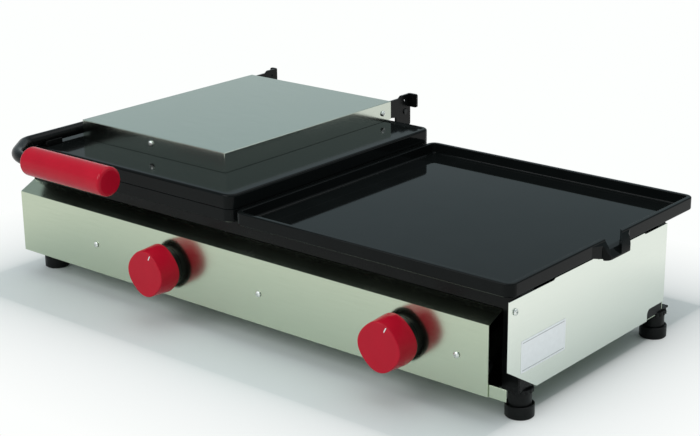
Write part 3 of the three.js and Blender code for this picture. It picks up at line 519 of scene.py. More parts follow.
def sheet_pieces():
    sheets = {
        # The side panels take the brighter copy of the stainless, which is painted light. The other sheets
        # take the darker copy, which is painted shade.
        "front_panel": ("steel_x_painted_shade", PANEL_EDGE),
        "base_pan": ("steel_x_painted_shade", SHEET_EDGE),
        "side_panel_left": ("steel_y_painted_light", SHEET_EDGE),
        "side_panel_right": ("steel_y_painted_light", SHEET_EDGE),
        "rear_panel": ("steel_x_painted_shade", SHEET_EDGE),
    }
    for node, (look, edge) in sheets.items():
        stand_in(node, "sheet", rounded(copy_of(node), edge, FOLD_STEPS), look, "stainless")
    painted = ["front_rail", "rear_rail", "centre_rail"]
    painted += [f"foot_bracket_{row}_{side}" for row in ("front", "rear") for side in ("left", "right")]
    for node in painted:
        painted_steel(node, copy_of(node), RAIL_EDGE)


sheet_pieces()


# Griddle tray with its rim all round and the drain spout

TRAY_RIM = 6 * MM
TRAY_CORNER = 11 * MM
TRAY_TOP_ROUND = 1.6 * MM
TRAY_FOOT_ROUND = 2 * MM
TRAY_FLOOR = 1.8 * MM
TRAY_FILLET = 2.5 * MM
TRAY_HEIGHT = 15.5 * MM
TRAY_LEAST_CORNER = 1 * MM
TRAY_INNER_STEPS = 4
TRAY_FILLET_STEPS = 5
SPOUT_REACH = 9 * MM
SPOUT_ROOT = (157 * MM, 236 * MM)
SPOUT_LIP = (185 * MM, 221 * MM)
SPOUT_CHANNEL = (184.5 * MM, 219.5 * MM)
SPOUT_TIP_WIDTH = 20 * MM
SPOUT_DEPTH = 6.2 * MM
SPOUT_SILL_DROP = 0.6 * MM
SPOUT_LIP_DROP = 6 * MM
SPOUT_CHEEK_HEIGHT = 2 * MM
SPOUT_CREST_SHARE = 0.35
SPOUT_EDGE = 0.7 * MM
SPOUT_OVERLAP = 1 * MM
SPOUT_BOW = 75


def griddle_tray():
    low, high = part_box("griddle_tray")
    right = high.x - SPOUT_REACH
    top = high.z
    bottom = top - TRAY_HEIGHT
    floor = bottom + TRAY_FLOOR
    foot = TRAY_FOOT_ROUND
    outer = TRAY_TOP_ROUND
    inner = TRAY_TOP_ROUND / 2
    fillet = TRAY_FILLET
    profile = [
        *arc(foot, bottom + foot, foot, 270, 180, EDGE_STEPS),
        *arc(outer, top - outer, outer, 180, 90, EDGE_STEPS),
        *arc(TRAY_RIM - inner, top - inner, inner, 90, 0, TRAY_INNER_STEPS),
        *arc(TRAY_RIM + fillet, floor + fillet, fillet, 180, 270, TRAY_FILLET_STEPS),
    ]
    tray = stacked("tray", (low.x, right, low.y, high.y), TRAY_CORNER, profile, TRAY_LEAST_CORNER)
    tray = combined(tray, [spout_channel(right, floor, top)])
    tray = combined(tray, [spout_solid(right, floor, bottom, top)], "UNION")
    stand_in("griddle_tray", "enamel", tray, "enamel", "black_plate")


def spout_solid(right, floor, bottom, top):
    """The spout: bowed cheeks that run out of the wall and fall to the lip, with the channel between."""
    origin = front_face()
    inner = right - TRAY_RIM + SPOUT_OVERLAP
    reach = SPOUT_REACH
    plan = [(inner, origin + SPOUT_ROOT[0]), (right, origin + SPOUT_ROOT[0])]
    plan += arc(right, origin + SPOUT_LIP[0], reach, -SPOUT_BOW, 0)
    plan += arc(right, origin + SPOUT_LIP[1], reach, 0, SPOUT_BOW)
    plan += [(right, origin + SPOUT_ROOT[1]), (inner, origin + SPOUT_ROOT[1])]
    crown = top - TRAY_TOP_ROUND
    base = bottom - SPOUT_DEPTH
    lip = floor - SPOUT_LIP_DROP
    blank = pulled("spout", plan, "z", base, crown)
    ends = (origin + SPOUT_ROOT[0] - SPARE, origin + SPOUT_ROOT[1] + SPARE)
    over = [
        (right, crown),
        (right + reach / 2, crown - (crown - lip) * SPOUT_CREST_SHARE),
        (right + reach, lip + SPOUT_CHEEK_HEIGHT),
        (right + reach + SPARE, lip + SPOUT_CHEEK_HEIGHT),
        (right + reach + SPARE, top + SPARE),
        (right, top + SPARE),
    ]
    under = [
        (inner - SPARE, base - SPARE),
        (right + reach / 3, base - SPARE),
        (right + reach / 3, base),
        (right + SEAT_GAP, bottom),
        (inner - SPARE, bottom),
    ]
    tools = [pulled("tool", outline, "y", *ends) for outline in (over, under)]
    tools.append(spout_channel(right, floor, top))
    return rounded(combined(blank, tools), SPOUT_EDGE)


def spout_channel(right, floor, top):
    """The room of the channel, which narrows from the tray to the lip."""
    origin = front_face()
    wall = right - TRAY_RIM
    tip = right + SPOUT_REACH
    lip = floor - SPOUT_LIP_DROP
    side = [
        (wall - SPARE, floor),
        (wall, floor),
        (right, floor - SPOUT_SILL_DROP),
        (tip, lip),
        (tip + SPARE, lip),
        (tip + SPARE, top + SPARE),
        (wall - SPARE, top + SPARE),
    ]
    front, rear = (origin + y for y in SPOUT_CHANNEL)
    narrowing = (rear - front - SPOUT_TIP_WIDTH) / SPOUT_REACH
    flare = rear + TRAY_RIM + SPARE
    plan = [
        (wall - SPARE, front),
        (tip + SPARE, front),
        (tip + SPARE, rear - narrowing * (SPOUT_REACH + SPARE)),
        (right, rear),
        (wall - SPARE, flare),
    ]
    profile = pulled("channel", side, "y", front, flare)
    room = pulled("room", plan, "z", lip - SPARE, top + 2 * SPARE)
    return combined(profile, [room], "INTERSECT")


griddle_tray()


# Press plates with their ridges

PLATE_CORNER = 13 * MM
PLATE_RIM = 6.5 * MM
PLATE_EDGE = 0.8 * MM
PLATE_CROWN = 3 * MM
PLATE_RECESS = 4 * MM
PLATE_TOP_RECESS = 1.5 * MM
RIDGE_PITCH = 12 * MM
RIDGE_WIDTH = 5 * MM
RIDGE_HEIGHT = 3 * MM
RIDGE_CREST_SHARE = 0.6
RIDGE_CREST_STEPS = 8
EDGE_MIDDLE_SHARE = 0.3


def ridge_bars(rectangle, base, tip):
    """Tapered bars with rounded tops, from the recess floor to their tips."""
    x0, x1, y0, y1 = rectangle
    margin = PLATE_RIM + RIDGE_PITCH
    count = math.floor((x1 - x0 - 2 * margin) / RIDGE_PITCH)
    start = (x0 + x1) / 2 - count * RIDGE_PITCH / 2
    half = RIDGE_WIDTH / 2
    crest = half * RIDGE_CREST_SHARE
    towards = 1 if tip > base else -1
    outline = [(-half, base), (-crest, tip - towards * crest)]
    outline += [(-crest * math.cos(a), tip - towards * crest * (1 - math.sin(a)))
                for a in (math.pi * step / RIDGE_CREST_STEPS for step in range(1, RIDGE_CREST_STEPS))]
    outline += [(crest, tip - towards * crest), (half, base)]
    bars = []
    for i in range(count + 1):
        x = start + i * RIDGE_PITCH
        loops = [[(x + u, y, z) for u, z in outline] for y in (y0 + margin, y1 - margin)]
        bars.append(loft("bar", loops))
    return bars


def rim_profile(z, way, recess):
    """A plate's rim from its outer wall over the flat at z to its recess. It looks up if way is 1."""
    edge = PLATE_EDGE
    half = edge * EDGE_MIDDLE_SHARE
    return [
        (0, z - way * edge),
        (half, z - way * half),
        (edge, z),
        (PLATE_RIM - edge, z),
        (PLATE_RIM, z - way * edge),
        (PLATE_RIM + edge, recess),
    ]


def lower_plate():
    low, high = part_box("lower_press_plate")
    rectangle = (low.x, high.x, low.y, high.y)
    floor = high.z - PLATE_RECESS
    edge = PLATE_EDGE
    profile = [(edge, low.z), (0, low.z + edge), *rim_profile(high.z, 1, floor)]
    plate = stacked("lower_plate", rectangle, PLATE_CORNER, profile)
    bars = ridge_bars(rectangle, floor - edge, floor + RIDGE_HEIGHT)
    whole = merged("lower_plate", [plate, *bars])
    piece("lower_plate_cast", whole, BASE, "plate", "black_plate", "lower_press_plate")


def upper_plate():
    low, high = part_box("upper_press_plate")
    rectangle = (low.x, high.x, low.y, high.y)
    ceiling = low.z + PLATE_RECESS
    deck = high.z - PLATE_TOP_RECESS
    edge = PLATE_EDGE
    profile = list(reversed(rim_profile(low.z, -1, ceiling)))
    profile += arc(PLATE_CROWN, high.z - PLATE_CROWN, PLATE_CROWN, 180, 90, ROUND_STEPS)
    profile += rim_profile(high.z, 1, deck)[3:]
    plate = stacked("upper_plate", rectangle, PLATE_CORNER, profile)
    cover_low, cover_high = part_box("press_cover")
    seat = cuboid(
        "seat",
        (cover_low.x - SEAT_GAP, high.y - PLATE_RIM - SPARE, deck),
        (cover_high.x + SEAT_GAP, high.y + SPARE, high.z + SPARE),
    )
    plate = combined(plate, [seat])
    bars = ridge_bars(rectangle, ceiling + edge, ceiling - RIDGE_HEIGHT)
    whole = merged("upper_plate", [plate, *bars])
    piece("upper_plate_cast", whole, LID, "plate", "black_plate", "upper_press_plate")


lower_plate()
upper_plate()


# Stainless cover box on the upper plate

COVER_SHEET = 1.2 * MM
COVER_EDGE = 0.9 * MM
ARM_THICKNESS = 3 * MM
ARM_TOP_DROP = 2.3 * MM
ARM_LEFT_INSET = 2 * MM
ARM_RIGHT_INSET = 5 * MM


def press_cover():
    low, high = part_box("press_cover")
    profile = [
        (COVER_SHEET, high.z - COVER_SHEET),
        (COVER_SHEET, low.z),
        (0, low.z),
    ]
    profile += arc(COVER_EDGE, high.z - COVER_EDGE, COVER_EDGE, 180, 90, EDGE_STEPS)
    shell = stacked("cover", (low.x, high.x, low.y, high.y), COVER_EDGE, profile)
    slots = []
    for side in ("left", "right"):
        x0, x1 = arm_wall(side)
        slots.append(cuboid(
            "slot",
            (x0 - SLOT_GAP, high.y - SPARE, low.z - SPARE),
            (x1 + SLOT_GAP, high.y + SPARE, arm_top() + SLOT_GAP),
        ))
    shell = combined(shell, slots)
    stand_in("press_cover", "sheet", shell, "steel_cover", "stainless")


def arm_wall(side):
    """The two faces of the arm's upright wall along X, the lower first."""
    cover_low, cover_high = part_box("press_cover")
    if side == "left":
        start = cover_low.x + ARM_LEFT_INSET
        return start, start + ARM_THICKNESS
    end = cover_high.x - ARM_RIGHT_INSET
    return end - ARM_THICKNESS, end


def arm_top():
    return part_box("press_cover")[1].z - ARM_TOP_DROP


press_cover()


# Hinge arms, posts and pins

PIVOT = Vector(next(j for j in frame["joints"] if j["name"] == "press_lid_hinge")["pos_m"])
PIN_HOLE = 3.3 * MM
PIN_SHANK = 3 * MM
PIN_HEAD = 4.2 * MM
PIN_HEAD_HEIGHT = 1.2 * MM
ARM_HOLE = 2.4 * MM
ARM_HOLE_RISE = 15.4 * MM
ARM_EDGE = 0.5 * MM
ARM_FOOT_WIDTH = 16 * MM
ARM_FOOT_INSET = 6 * MM
ARM_FOOT_HEIGHT = 2 * MM
ARM_STEP = (13.5 * MM, 7.5 * MM)
ARM_STEP_POINTS = 10
ARM_HEEL_RISE = 23.2 * MM
ARM_THROAT_REACH = 24.5 * MM
ARM_THROAT_DROP = 5 * MM
ARM_LOBE_ROUND = 8 * MM
TAB_BOTTOM_RISE = 5.3 * MM
TAB_CORNER = 2.5 * MM
POST_THICKNESS = 3 * MM
POST_FRONT_REACH = 18 * MM
POST_LOBE = 8 * MM
POST_KNEE_RISE = 20 * MM
POST_HEEL_RISE = 40 * MM
POST_SHOULDER_DROP = 16 * MM
FLANGE_WIDTH = 26 * MM
FLANGE_HEIGHT = 52 * MM
BOLT_HOLE = 2.8 * MM
PIN_EDGE = 0.4 * MM
LOBE_STEPS = 24


def rod(name, radius, start, end, sides=SMALL_SIDES):
    """A plain round bar between two points."""
    way = Vector(end) - Vector(start)
    profile = [(0, 0), (radius, 0), (radius, way.length), (0, way.length)]
    return turned(name, profile, way.normalized(), start, sides)


def across(radius, y, z, wall):
    return rod("hole", radius, (wall[0] - SPARE, y, z), (wall[1] + SPARE, y, z))


def hinge_arm(side):
    low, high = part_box("hinge_arm_" + side)
    wall = arm_wall(side)
    cover_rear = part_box("press_cover")[1].y
    plate_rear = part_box("upper_press_plate")[1].y
    y, z = PIVOT.y, PIVOT.z
    heel = z + ARM_HEEL_RISE
    throat = plate_rear + ARM_THROAT_REACH
    lobe = low.z + ARM_LOBE_ROUND
    outline = [
        (low.y, low_deck()),
        (cover_rear, low_deck()),
        (throat, z - ARM_THROAT_DROP),
        *arc(throat + ARM_LOBE_ROUND, lobe, ARM_LOBE_ROUND, 180, 270),
        *arc(high.y - ARM_LOBE_ROUND, lobe, ARM_LOBE_ROUND, 270, 360),
        (high.y, heel),
    ]
    for i in range(ARM_STEP_POINTS + 1):
        share = 1 - i / ARM_STEP_POINTS
        rise = 3 * share ** 2 - 2 * share ** 3
        reach = ARM_STEP[0] + (ARM_STEP[1] - ARM_STEP[0]) * share
        outline.append((y - reach, arm_top() + (heel - arm_top()) * rise))
    outline.append((low.y, arm_top()))
    web = pulled("arm", outline, "x", *wall)
    tab_span = (low.x, wall[1]) if side == "left" else (wall[0], high.x)
    tab_outline = rounded_rectangle(*tab_span, z + TAB_BOTTOM_RISE, high.z, TAB_CORNER)
    tab = pulled("tab", tab_outline, "y", high.y - ARM_THICKNESS, high.y)
    foot_span = inward(side, wall, ARM_FOOT_WIDTH)
    foot = cuboid(
        "foot",
        (foot_span[0], low.y, low_deck()),
        (foot_span[1], plate_rear - ARM_FOOT_INSET, low_deck() + ARM_FOOT_HEIGHT),
    )
    arm = combined(web, [tab, foot], "UNION")
    arm = combined(arm, [across(PIN_HOLE, y, z, wall), across(ARM_HOLE, y, z + ARM_HOLE_RISE, wall)])
    painted_steel("hinge_arm_" + side, arm, ARM_EDGE)


def inward(side, wall, width):
    """A span along X from a wall's outer face towards the middle of the press."""
    return (wall[0], wall[0] + width) if side == "left" else (wall[1] - width, wall[1])


def low_deck():
    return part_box("press_cover")[0].z


def hinge_post(side):
    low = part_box("hinge_post_" + side)[0]
    arm = arm_wall(side)
    x0 = arm[1] + SLOT_GAP if side == "left" else arm[0] - SLOT_GAP - POST_THICKNESS
    wall = (x0, x0 + POST_THICKNESS)
    y, z = PIVOT.y, PIVOT.z
    flange_top = low.z + FLANGE_HEIGHT
    front = y - POST_FRONT_REACH
    outline = [
        (low.y, low.z),
        (front, low.z + POST_KNEE_RISE),
        (y + POST_LOBE, low.z + POST_HEEL_RISE),
        *arc(y, z, POST_LOBE, 0, 180, LOBE_STEPS),
        (front, z - POST_SHOULDER_DROP),
        (front, flange_top + POST_THICKNESS),
        (low.y + POST_THICKNESS, flange_top),
        (low.y, flange_top),
    ]
    web = pulled("post", outline, "x", *wall)
    flange_span = inward(side, wall, FLANGE_WIDTH)
    flange = cuboid(
        "flange",
        (flange_span[0], low.y, low.z),
        (flange_span[1], low.y + POST_THICKNESS, flange_top),
    )
    post = combined(web, [flange], "UNION")
    holes = [across(PIN_HOLE, y, z, wall)]
    for number in (1, 2):
        x, _, height = middle(f"post_bolt_{side}_{number}")
        holes.append(rod("hole", BOLT_HOLE, (x, low.y - SPARE, height), (x, low.y + 2 * SPARE, height)))
    painted_steel("hinge_post_" + side, combined(post, holes), ARM_EDGE)


def hinge_pin(side):
    low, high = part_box("hinge_pin_" + side)
    length = high.x - low.x
    head = PIN_HEAD_HEIGHT
    edge = PIN_EDGE
    profile = [
        (0, 0), (PIN_HEAD - edge, 0), (PIN_HEAD, edge), (PIN_HEAD, head), (PIN_SHANK, head),
        (PIN_SHANK, length - head), (PIN_HEAD, length - head), (PIN_HEAD, length - head + edge),
        (PIN_HEAD - 2 * edge, length), (0, length),
    ]
    axis = (-1, 0, 0) if side == "left" else (1, 0, 0)
    start = (high.x if side == "left" else low.x, PIVOT.y, PIVOT.z)
    pin = turned("pin", profile, axis, start, SMALL_SIDES)
    stand_in("hinge_pin_" + side, "turned", pin, "dark_zinc", "plated_steel")


for hinge_side in ("left", "right"):
    hinge_arm(hinge_side)
    hinge_post(hinge_side)
    hinge_pin(hinge_side)


# Handle: bent tube, grip, clamp and saddle

TUBE_RADIUS = 7.5 * MM
TUBE_WALL = 1.6 * MM
TUBE_FIRST_BEND_REACH = 13 * MM
TUBE_SLANT_WIDTH = 38.8 * MM
TUBE_BENDS = (24 * MM, 55 * MM)
TUBE_SIDES = 48
BEND_STEPS = 20
GRIP_ROUND = 4.5 * MM
GRIP_MOUTH = 0.6 * MM
GRIP_END_SHARES = (0.4, 0)
CLAMP_WALL = 2 * MM
CLAMP_EDGE = 0.6 * MM
CLAMP_BORE_SIDES = 64


def tube_route():
    """The tube's centre line from its rear end to its end in the grip, with its directions."""
    low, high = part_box("handle_tube")
    x = low.x + TUBE_RADIUS
    y = low.y + TUBE_RADIUS
    z = (low.z + high.z) / 2
    face = front_face()
    corners = [
        Vector((x, high.y, z)),
        Vector((x, face - TUBE_FIRST_BEND_REACH, z)),
        Vector((x + TUBE_SLANT_WIDTH, y, z)),
        Vector((high.x, y, z)),
    ]
    ways = [(after - before).normalized() for before, after in zip(corners, corners[1:])]
    route = [(corners[0], ways[0])]
    for corner, coming, going, radius in zip(corners[1:], ways, ways[1:], TUBE_BENDS):
        turn = coming.angle(going)
        start = corner - coming * radius * math.tan(turn / 2)
        inward = (going - coming * math.cos(turn)).normalized()
        for step in range(BEND_STEPS + 1):
            angle = turn * step / BEND_STEPS
            place = start + radius * (math.sin(angle) * coming + (1 - math.cos(angle)) * inward)
            route.append((place, math.cos(angle) * coming + math.sin(angle) * inward))
    route.append((corners[-1], ways[-1]))
    return route


def handle_tube():
    loops = []
    up = Vector((0, 0, 1))
    route = tube_route()
    for radius, line in ((TUBE_RADIUS, route), (TUBE_RADIUS - TUBE_WALL, list(reversed(route)))):
        for place, way in line:
            side = way.cross(up)
            loops.append([place + radius * (math.cos(angle) * side + math.sin(angle) * up)
                          for angle in angles(TUBE_SIDES)])
    loops.append(loops[0])
    tube = loft("tube", loops, caps=False)
    stand_in("handle_tube", "bent", tube, "paint", "black_paint")


def handle_grip():
    low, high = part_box("handle_grip")
    radius = (high.z - low.z) / 2
    length = high.x - low.x
    bore = TUBE_RADIUS + SEAT_GAP
    bore_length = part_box("handle_tube")[1].x - low.x + SEAT_GAP
    profile = [(0, bore_length), (bore, bore_length), (bore, GRIP_MOUTH), (bore + GRIP_MOUTH, 0)]
    wall = radius - GRIP_ROUND
    profile += arc(wall, GRIP_ROUND, GRIP_ROUND, -90, 0, ROUND_STEPS)
    profile += arc(wall, length - GRIP_ROUND, GRIP_ROUND, 0, 90, ROUND_STEPS)
    profile += [(radius * share, length) for share in GRIP_END_SHARES]
    _, y, z = middle("handle_grip")
    grip = turned("grip", profile, (1, 0, 0), (low.x, y, z))
    stand_in("handle_grip", "moulded", grip, "red", "red_plastic")


def handle_blocks():
    tube_low, tube_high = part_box("handle_tube")
    x = tube_low.x + TUBE_RADIUS
    z = (tube_low.z + tube_high.z) / 2
    clamp_radius = TUBE_RADIUS + CLAMP_WALL
    for node in ("handle_clamp", "handle_saddle"):
        low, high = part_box(node)
        outline = [(x - clamp_radius, low.z), (x + clamp_radius, low.z)]
        if node == "handle_clamp":
            outline += arc(x, z, clamp_radius, 0, 180, LOBE_STEPS)
        else:
            outline += [(x + clamp_radius, high.z), (x - clamp_radius, high.z)]
        block = rounded(pulled(node, outline, "y", low.y, high.y), CLAMP_EDGE)
        ends = (x, low.y - SPARE, z), (x, high.y + SPARE, z)
        room = rod("hole", TUBE_RADIUS + SEAT_GAP, *ends, CLAMP_BORE_SIDES)
        stand_in(node, "block", combined(block, [room]), "paint", "black_paint")


handle_tube()
handle_grip()
handle_blocks()


# Knobs with four flutes, their marks and the bezels behind them

KNOB_FLUTE = 1.7 * MM
KNOB_FLUTES = 4
KNOB_POINTS = 160
KNOB_EDGE = 1.4 * MM
KNOB_TAPER = 1.6 * MM
KNOB_REAR_EDGE = 0.8 * MM
KNOB_CAVITY = 25.6 * MM
KNOB_CAVITY_DEPTH = 14 * MM
KNOB_BOSS = 9 * MM
KNOB_SKIN = 2.5 * MM
KNOB_REAR_FACING = 0.6
KNOB_SPREAD = 0.15 * MM
KNOB_BORE = 4.3 * MM
KNOB_BORE_START = 9 * MM
KNOB_BOSS_OVERLAP = 1 * MM
BEZEL_EDGE = 1 * MM
MARK_WIDTH = 1.4 * MM
MARK_LENGTH = 6.5 * MM
MARK_HEIGHT = 0.25 * MM
MARK_TILT = 28
MARK_RADIUS = 22.5 * MM
MARK_SHIFT = (9 * MM, -0.5 * MM)
MARK_SEAT = 0.1 * MM
MARK_TOP_SHARE = 0.15


def knob_outline(radius, inset):
    points = []
    for angle in angles(KNOB_POINTS):
        wave = (1 - math.cos(KNOB_FLUTES * angle)) / 2
        r = radius - inset - KNOB_FLUTE * (1 - wave)
        points.append((-r * math.cos(angle + math.pi / 4), r * math.sin(angle + math.pi / 4)))
    return points


def knob(side):
    low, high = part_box("knob_" + side)
    x, _, z = middle("knob_" + side)
    radius = (high.x - low.x) / 2 + KNOB_SPREAD
    steps = arc(0, 0, 1, 0, 90, EDGE_STEPS)
    loops = []
    for y in (high.y - KNOB_CAVITY_DEPTH, high.y):
        loops.append([(x + KNOB_CAVITY * math.cos(a), y, z + KNOB_CAVITY * math.sin(a))
                      for a in (math.pi - angle - math.pi / 4 for angle in angles(KNOB_POINTS))])
    edge = KNOB_REAR_EDGE
    outer = [(edge * (1 - v), high.y - edge * (1 - u)) for u, v in steps]
    outer += [(KNOB_TAPER + KNOB_EDGE * (1 - u), low.y + KNOB_EDGE * (1 - v)) for u, v in steps]
    for inset, y in outer:
        loops.append([(x + u, y, z + v) for u, v in knob_outline(radius, inset)])
    cap = loft("knob", loops)
    rear = high.y - KNOB_CAVITY_DEPTH - KNOB_BOSS_OVERLAP
    boss = rod("boss", KNOB_BOSS, (x, rear, z), (x, high.y, z))
    cap = combined(cap, [boss], "UNION")
    bore = rod("bore", KNOB_BORE, (x, low.y + KNOB_BORE_START, z), (x, high.y + SPARE, z))
    cap = combined(cap, [bore])
    made = stand_in("knob_" + side, "moulded", cap, "red", "red_plastic")
    # The knob's rear faces and its hollow take black: painted shade, so that its reflection in the front
    # panel falls dark.
    made.data.materials.append(LOOKS["black_plastic"])
    for face in made.data.polygons:
        shaded_hollow = math.hypot(face.center.x - x, face.center.z - z) < KNOB_CAVITY + SEAT_GAP
        if face.normal.y > KNOB_REAR_FACING or (shaded_hollow and face.center.y > low.y + KNOB_SKIN):
            face.material_index = 1
    mark(side, x, low.y, z)


def mark(side, x, y, z):
    """A raised white line near the face's edge that shows where the knob points."""
    centre = Vector((x + MARK_SHIFT[0], y, z + MARK_RADIUS + MARK_SHIFT[1]))
    bar = []
    half = MARK_WIDTH / 2
    reach = MARK_LENGTH / 2 - half
    turn = math.radians(90 - MARK_TILT)
    ends = arc(reach, 0, half, -90, 90, ROUND_STEPS) + arc(-reach, 0, half, 90, 270, ROUND_STEPS)
    for u, v in ends:
        bar.append((u * math.cos(turn) - v * math.sin(turn), u * math.sin(turn) + v * math.cos(turn)))
    loops = []
    for inset, depth in ((0, MARK_SEAT), (0, -MARK_HEIGHT / 2), (MARK_TOP_SHARE, -MARK_HEIGHT)):
        loops.append([
            (centre.x + u * (1 - inset), centre.y + depth, centre.z + v * (1 - inset)) for u, v in bar
        ])
    piece(f"knob_{side}_mark", loft("mark", loops), node_body("knob_" + side), "white", "white_print")


def bezel(side):
    low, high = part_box("knob_bezel_" + side)
    radius = (high.x - low.x) / 2
    depth = high.y - low.y
    room = KNOB_BOSS + SLOT_GAP
    edge = BEZEL_EDGE
    profile = [
        (room, 0), (room, depth - edge), (room + edge, depth),
        (radius - edge, depth), (radius, depth - edge), (radius, 0), (room, 0),
    ]
    x, _, z = middle("knob_bezel_" + side)
    ring = turned("bezel", profile, (0, -1, 0), (x, high.y, z))
    stand_in("knob_bezel_" + side, "moulded", ring, "black_plastic", "black_plastic")


for knob_side in ("left", "right"):
    knob(knob_side)
    bezel(knob_side)


# Feet

FOOT_RADIUS = 12.8 * MM
FOOT_COLLAR = 16 * MM
FOOT_COLLAR_HEIGHT = 13 * MM
FOOT_LIP_HEIGHT = 1.6 * MM
FOOT_LIP_WIDTH = 1.4 * MM
FOOT_SOLE_CHAMFER = 1.2 * MM
FOOT_FLANGE = 15 * MM
FOOT_FLANGE_HEIGHT = 4.5 * MM
FOOT_STUD = 4 * MM
FOOT_STUD_LENGTH = 2.8 * MM
FOOT_EDGE = 0.5 * MM
KNURL_COUNT = 16
KNURL_DEPTH = 1.3 * MM
KNURL_EDGE = 0.6 * MM
KNURL_POINTS = 192


def knurled_disc(x, y, low, high):
    """The foot's adjusting disc, with rounded bumps round its edge."""
    loops = []
    for inset, z in ((KNURL_EDGE, low), (0, low + KNURL_EDGE), (0, high - KNURL_EDGE), (KNURL_EDGE, high)):
        ring = []
        for angle in angles(KNURL_POINTS):
            dip = 1 - abs(math.cos(KNURL_COUNT * angle / 2))
            radius = FOOT_FLANGE - inset - KNURL_DEPTH * dip
            ring.append((x + radius * math.cos(angle), y + radius * math.sin(angle), z))
        loops.append(ring)
    return loft("knurl", loops)


def foot(row, side):
    node = f"foot_{row}_{side}"
    low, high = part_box(node)
    x, y, _ = middle(node)
    collar = FOOT_COLLAR_HEIGHT
    lip = collar + FOOT_LIP_HEIGHT
    groove = FOOT_COLLAR - FOOT_LIP_WIDTH
    edge = FOOT_EDGE
    height = high.z - low.z
    profile = [
        (0, 0),
        (FOOT_COLLAR - FOOT_SOLE_CHAMFER, 0),
        (FOOT_COLLAR, FOOT_SOLE_CHAMFER),
        (FOOT_COLLAR, lip - edge),
        (FOOT_COLLAR - edge, lip),
        (groove, lip - edge),
        (groove, collar),
        (FOOT_RADIUS + edge, collar),
        (FOOT_RADIUS, collar + edge),
        (FOOT_RADIUS, height - FOOT_STUD_LENGTH - FOOT_FLANGE_HEIGHT / 2),
        (FOOT_STUD, height - FOOT_STUD_LENGTH - FOOT_FLANGE_HEIGHT / 2),
        (FOOT_STUD, height),
        (0, height),
    ]
    shape = turned("foot", profile, (0, 0, 1), (x, y, low.z))
    disc_top = high.z - FOOT_STUD_LENGTH
    disc = knurled_disc(x, y, disc_top - FOOT_FLANGE_HEIGHT, disc_top)
    shape = combined(shape, [disc], "UNION")
    stand_in(node, "moulded", shape, "rubber", "black_rubber")


for foot_row in ("front", "rear"):
    for foot_side in ("left", "right"):
        foot(foot_row, foot_side)


# Pan head screws with a cross recess, and the posts' bolts

HEAD_RADIUS = 3.7 * MM
HEAD_HEIGHT = 2.2 * MM
HEAD_EDGE = 0.2 * MM
HEAD_WALL = 0.7 * MM
HEAD_BULGE = 0.7
HEAD_FLAT = 0.8 * MM
SHANK_RADIUS = 2 * MM
RECESS_SPAN = 3.8 * MM
RECESS_WIDTH = 0.9 * MM
RECESS_DEPTH = 1.2 * MM
RECESS_OVERRUN = 1 * MM
TWIST_START = 25
TWIST_STEP = 40
TWIST_COUNT = 3
BOLT_SHANK = 2.5 * MM
BOLT_HEAD = 2.5 * MM
BOLT_RADIUS = 5 * MM
BOLT_SIDES = 6
BOLT_FOOT = (0.5 * MM, 0.3 * MM)
BOLT_CROWN = (0.8 * MM, 0.6 * MM)
BOLT_OVERLAP = 0.5 * MM
HEAD_SHARES = (0.25, 0.5, 0.75)
SCREWS = {
    (0, -1, 0): ("fascia_screw_1", "fascia_screw_2", "fascia_screw_3", "cover_screw_front"),
    (-1, 0, 0): ("side_screw_left", "cover_screw_left"),
    (1, 0, 0): ("side_screw_right", "cover_screw_right"),
}


def pan_screw(node, axis):
    low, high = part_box(node)
    way = Vector(axis)
    length = abs((high - low).dot(way))
    seat = (low + high) / 2 + way * (length / 2 - HEAD_HEIGHT)
    shank = length - HEAD_HEIGHT
    profile = [(0, -shank), (SHANK_RADIUS, -shank), (SHANK_RADIUS, 0), (HEAD_RADIUS - HEAD_EDGE, 0)]
    profile += [(HEAD_RADIUS, HEAD_EDGE), (HEAD_RADIUS, HEAD_WALL)]
    for share in HEAD_SHARES:
        angle = math.pi / 2 * share
        height = HEAD_WALL + (HEAD_HEIGHT - HEAD_WALL) * math.sin(angle)
        profile.append((HEAD_RADIUS * math.cos(angle) ** HEAD_BULGE, height))
    profile += [(HEAD_FLAT, HEAD_HEIGHT), (0, HEAD_HEIGHT)]
    head = turned("screw", profile, (0, 0, 1), (0, 0, 0), SMALL_SIDES)
    arms = []
    for span in ((RECESS_SPAN, RECESS_WIDTH), (RECESS_WIDTH, RECESS_SPAN)):
        low = (-span[0] / 2, -span[1] / 2, HEAD_HEIGHT - RECESS_DEPTH)
        high = (span[0] / 2, span[1] / 2, HEAD_HEIGHT + RECESS_OVERRUN)
        arms.append(cuboid("arm", low, high))
    screw = combined(head, arms)
    turn = Vector((0, 0, 1)).rotation_difference(way).to_matrix().to_4x4()
    twist_angle = TWIST_START + TWIST_STEP * (len(node) % TWIST_COUNT)
    twist = Matrix.Rotation(math.radians(twist_angle), 4, "Z")
    screw.transform(Matrix.Translation(seat) @ turn @ twist)
    stand_in(node, "turned", screw, "zinc", "plated_steel")


def hex_bolt(node):
    low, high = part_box(node)
    x, _, z = middle(node)
    radius = BOLT_RADIUS
    seat = high.y - BOLT_HEAD
    profile = [
        (0, 0),
        (radius - BOLT_FOOT[0], 0),
        (radius, BOLT_FOOT[1]),
        (radius, BOLT_HEAD - BOLT_CROWN[1]),
        (radius - BOLT_CROWN[0], BOLT_HEAD),
        (0, BOLT_HEAD),
    ]
    bolt = turned("bolt", profile, (0, 1, 0), (x, seat, z), BOLT_SIDES)
    stud = rod("stud", BOLT_SHANK, (x, low.y, z), (x, seat + BOLT_OVERLAP, z))
    bolt = combined(bolt, [stud], "UNION")
    stand_in(node, "turned", bolt, "zinc", "plated_steel")


for screw_axis, screw_nodes in SCREWS.items():
    for screw_node in screw_nodes:
        pan_screw(screw_node, screw_axis)
for bolt_side in ("left", "right"):
    for bolt_number in (1, 2):
        hex_bolt(f"post_bolt_{bolt_side}_{bolt_number}")


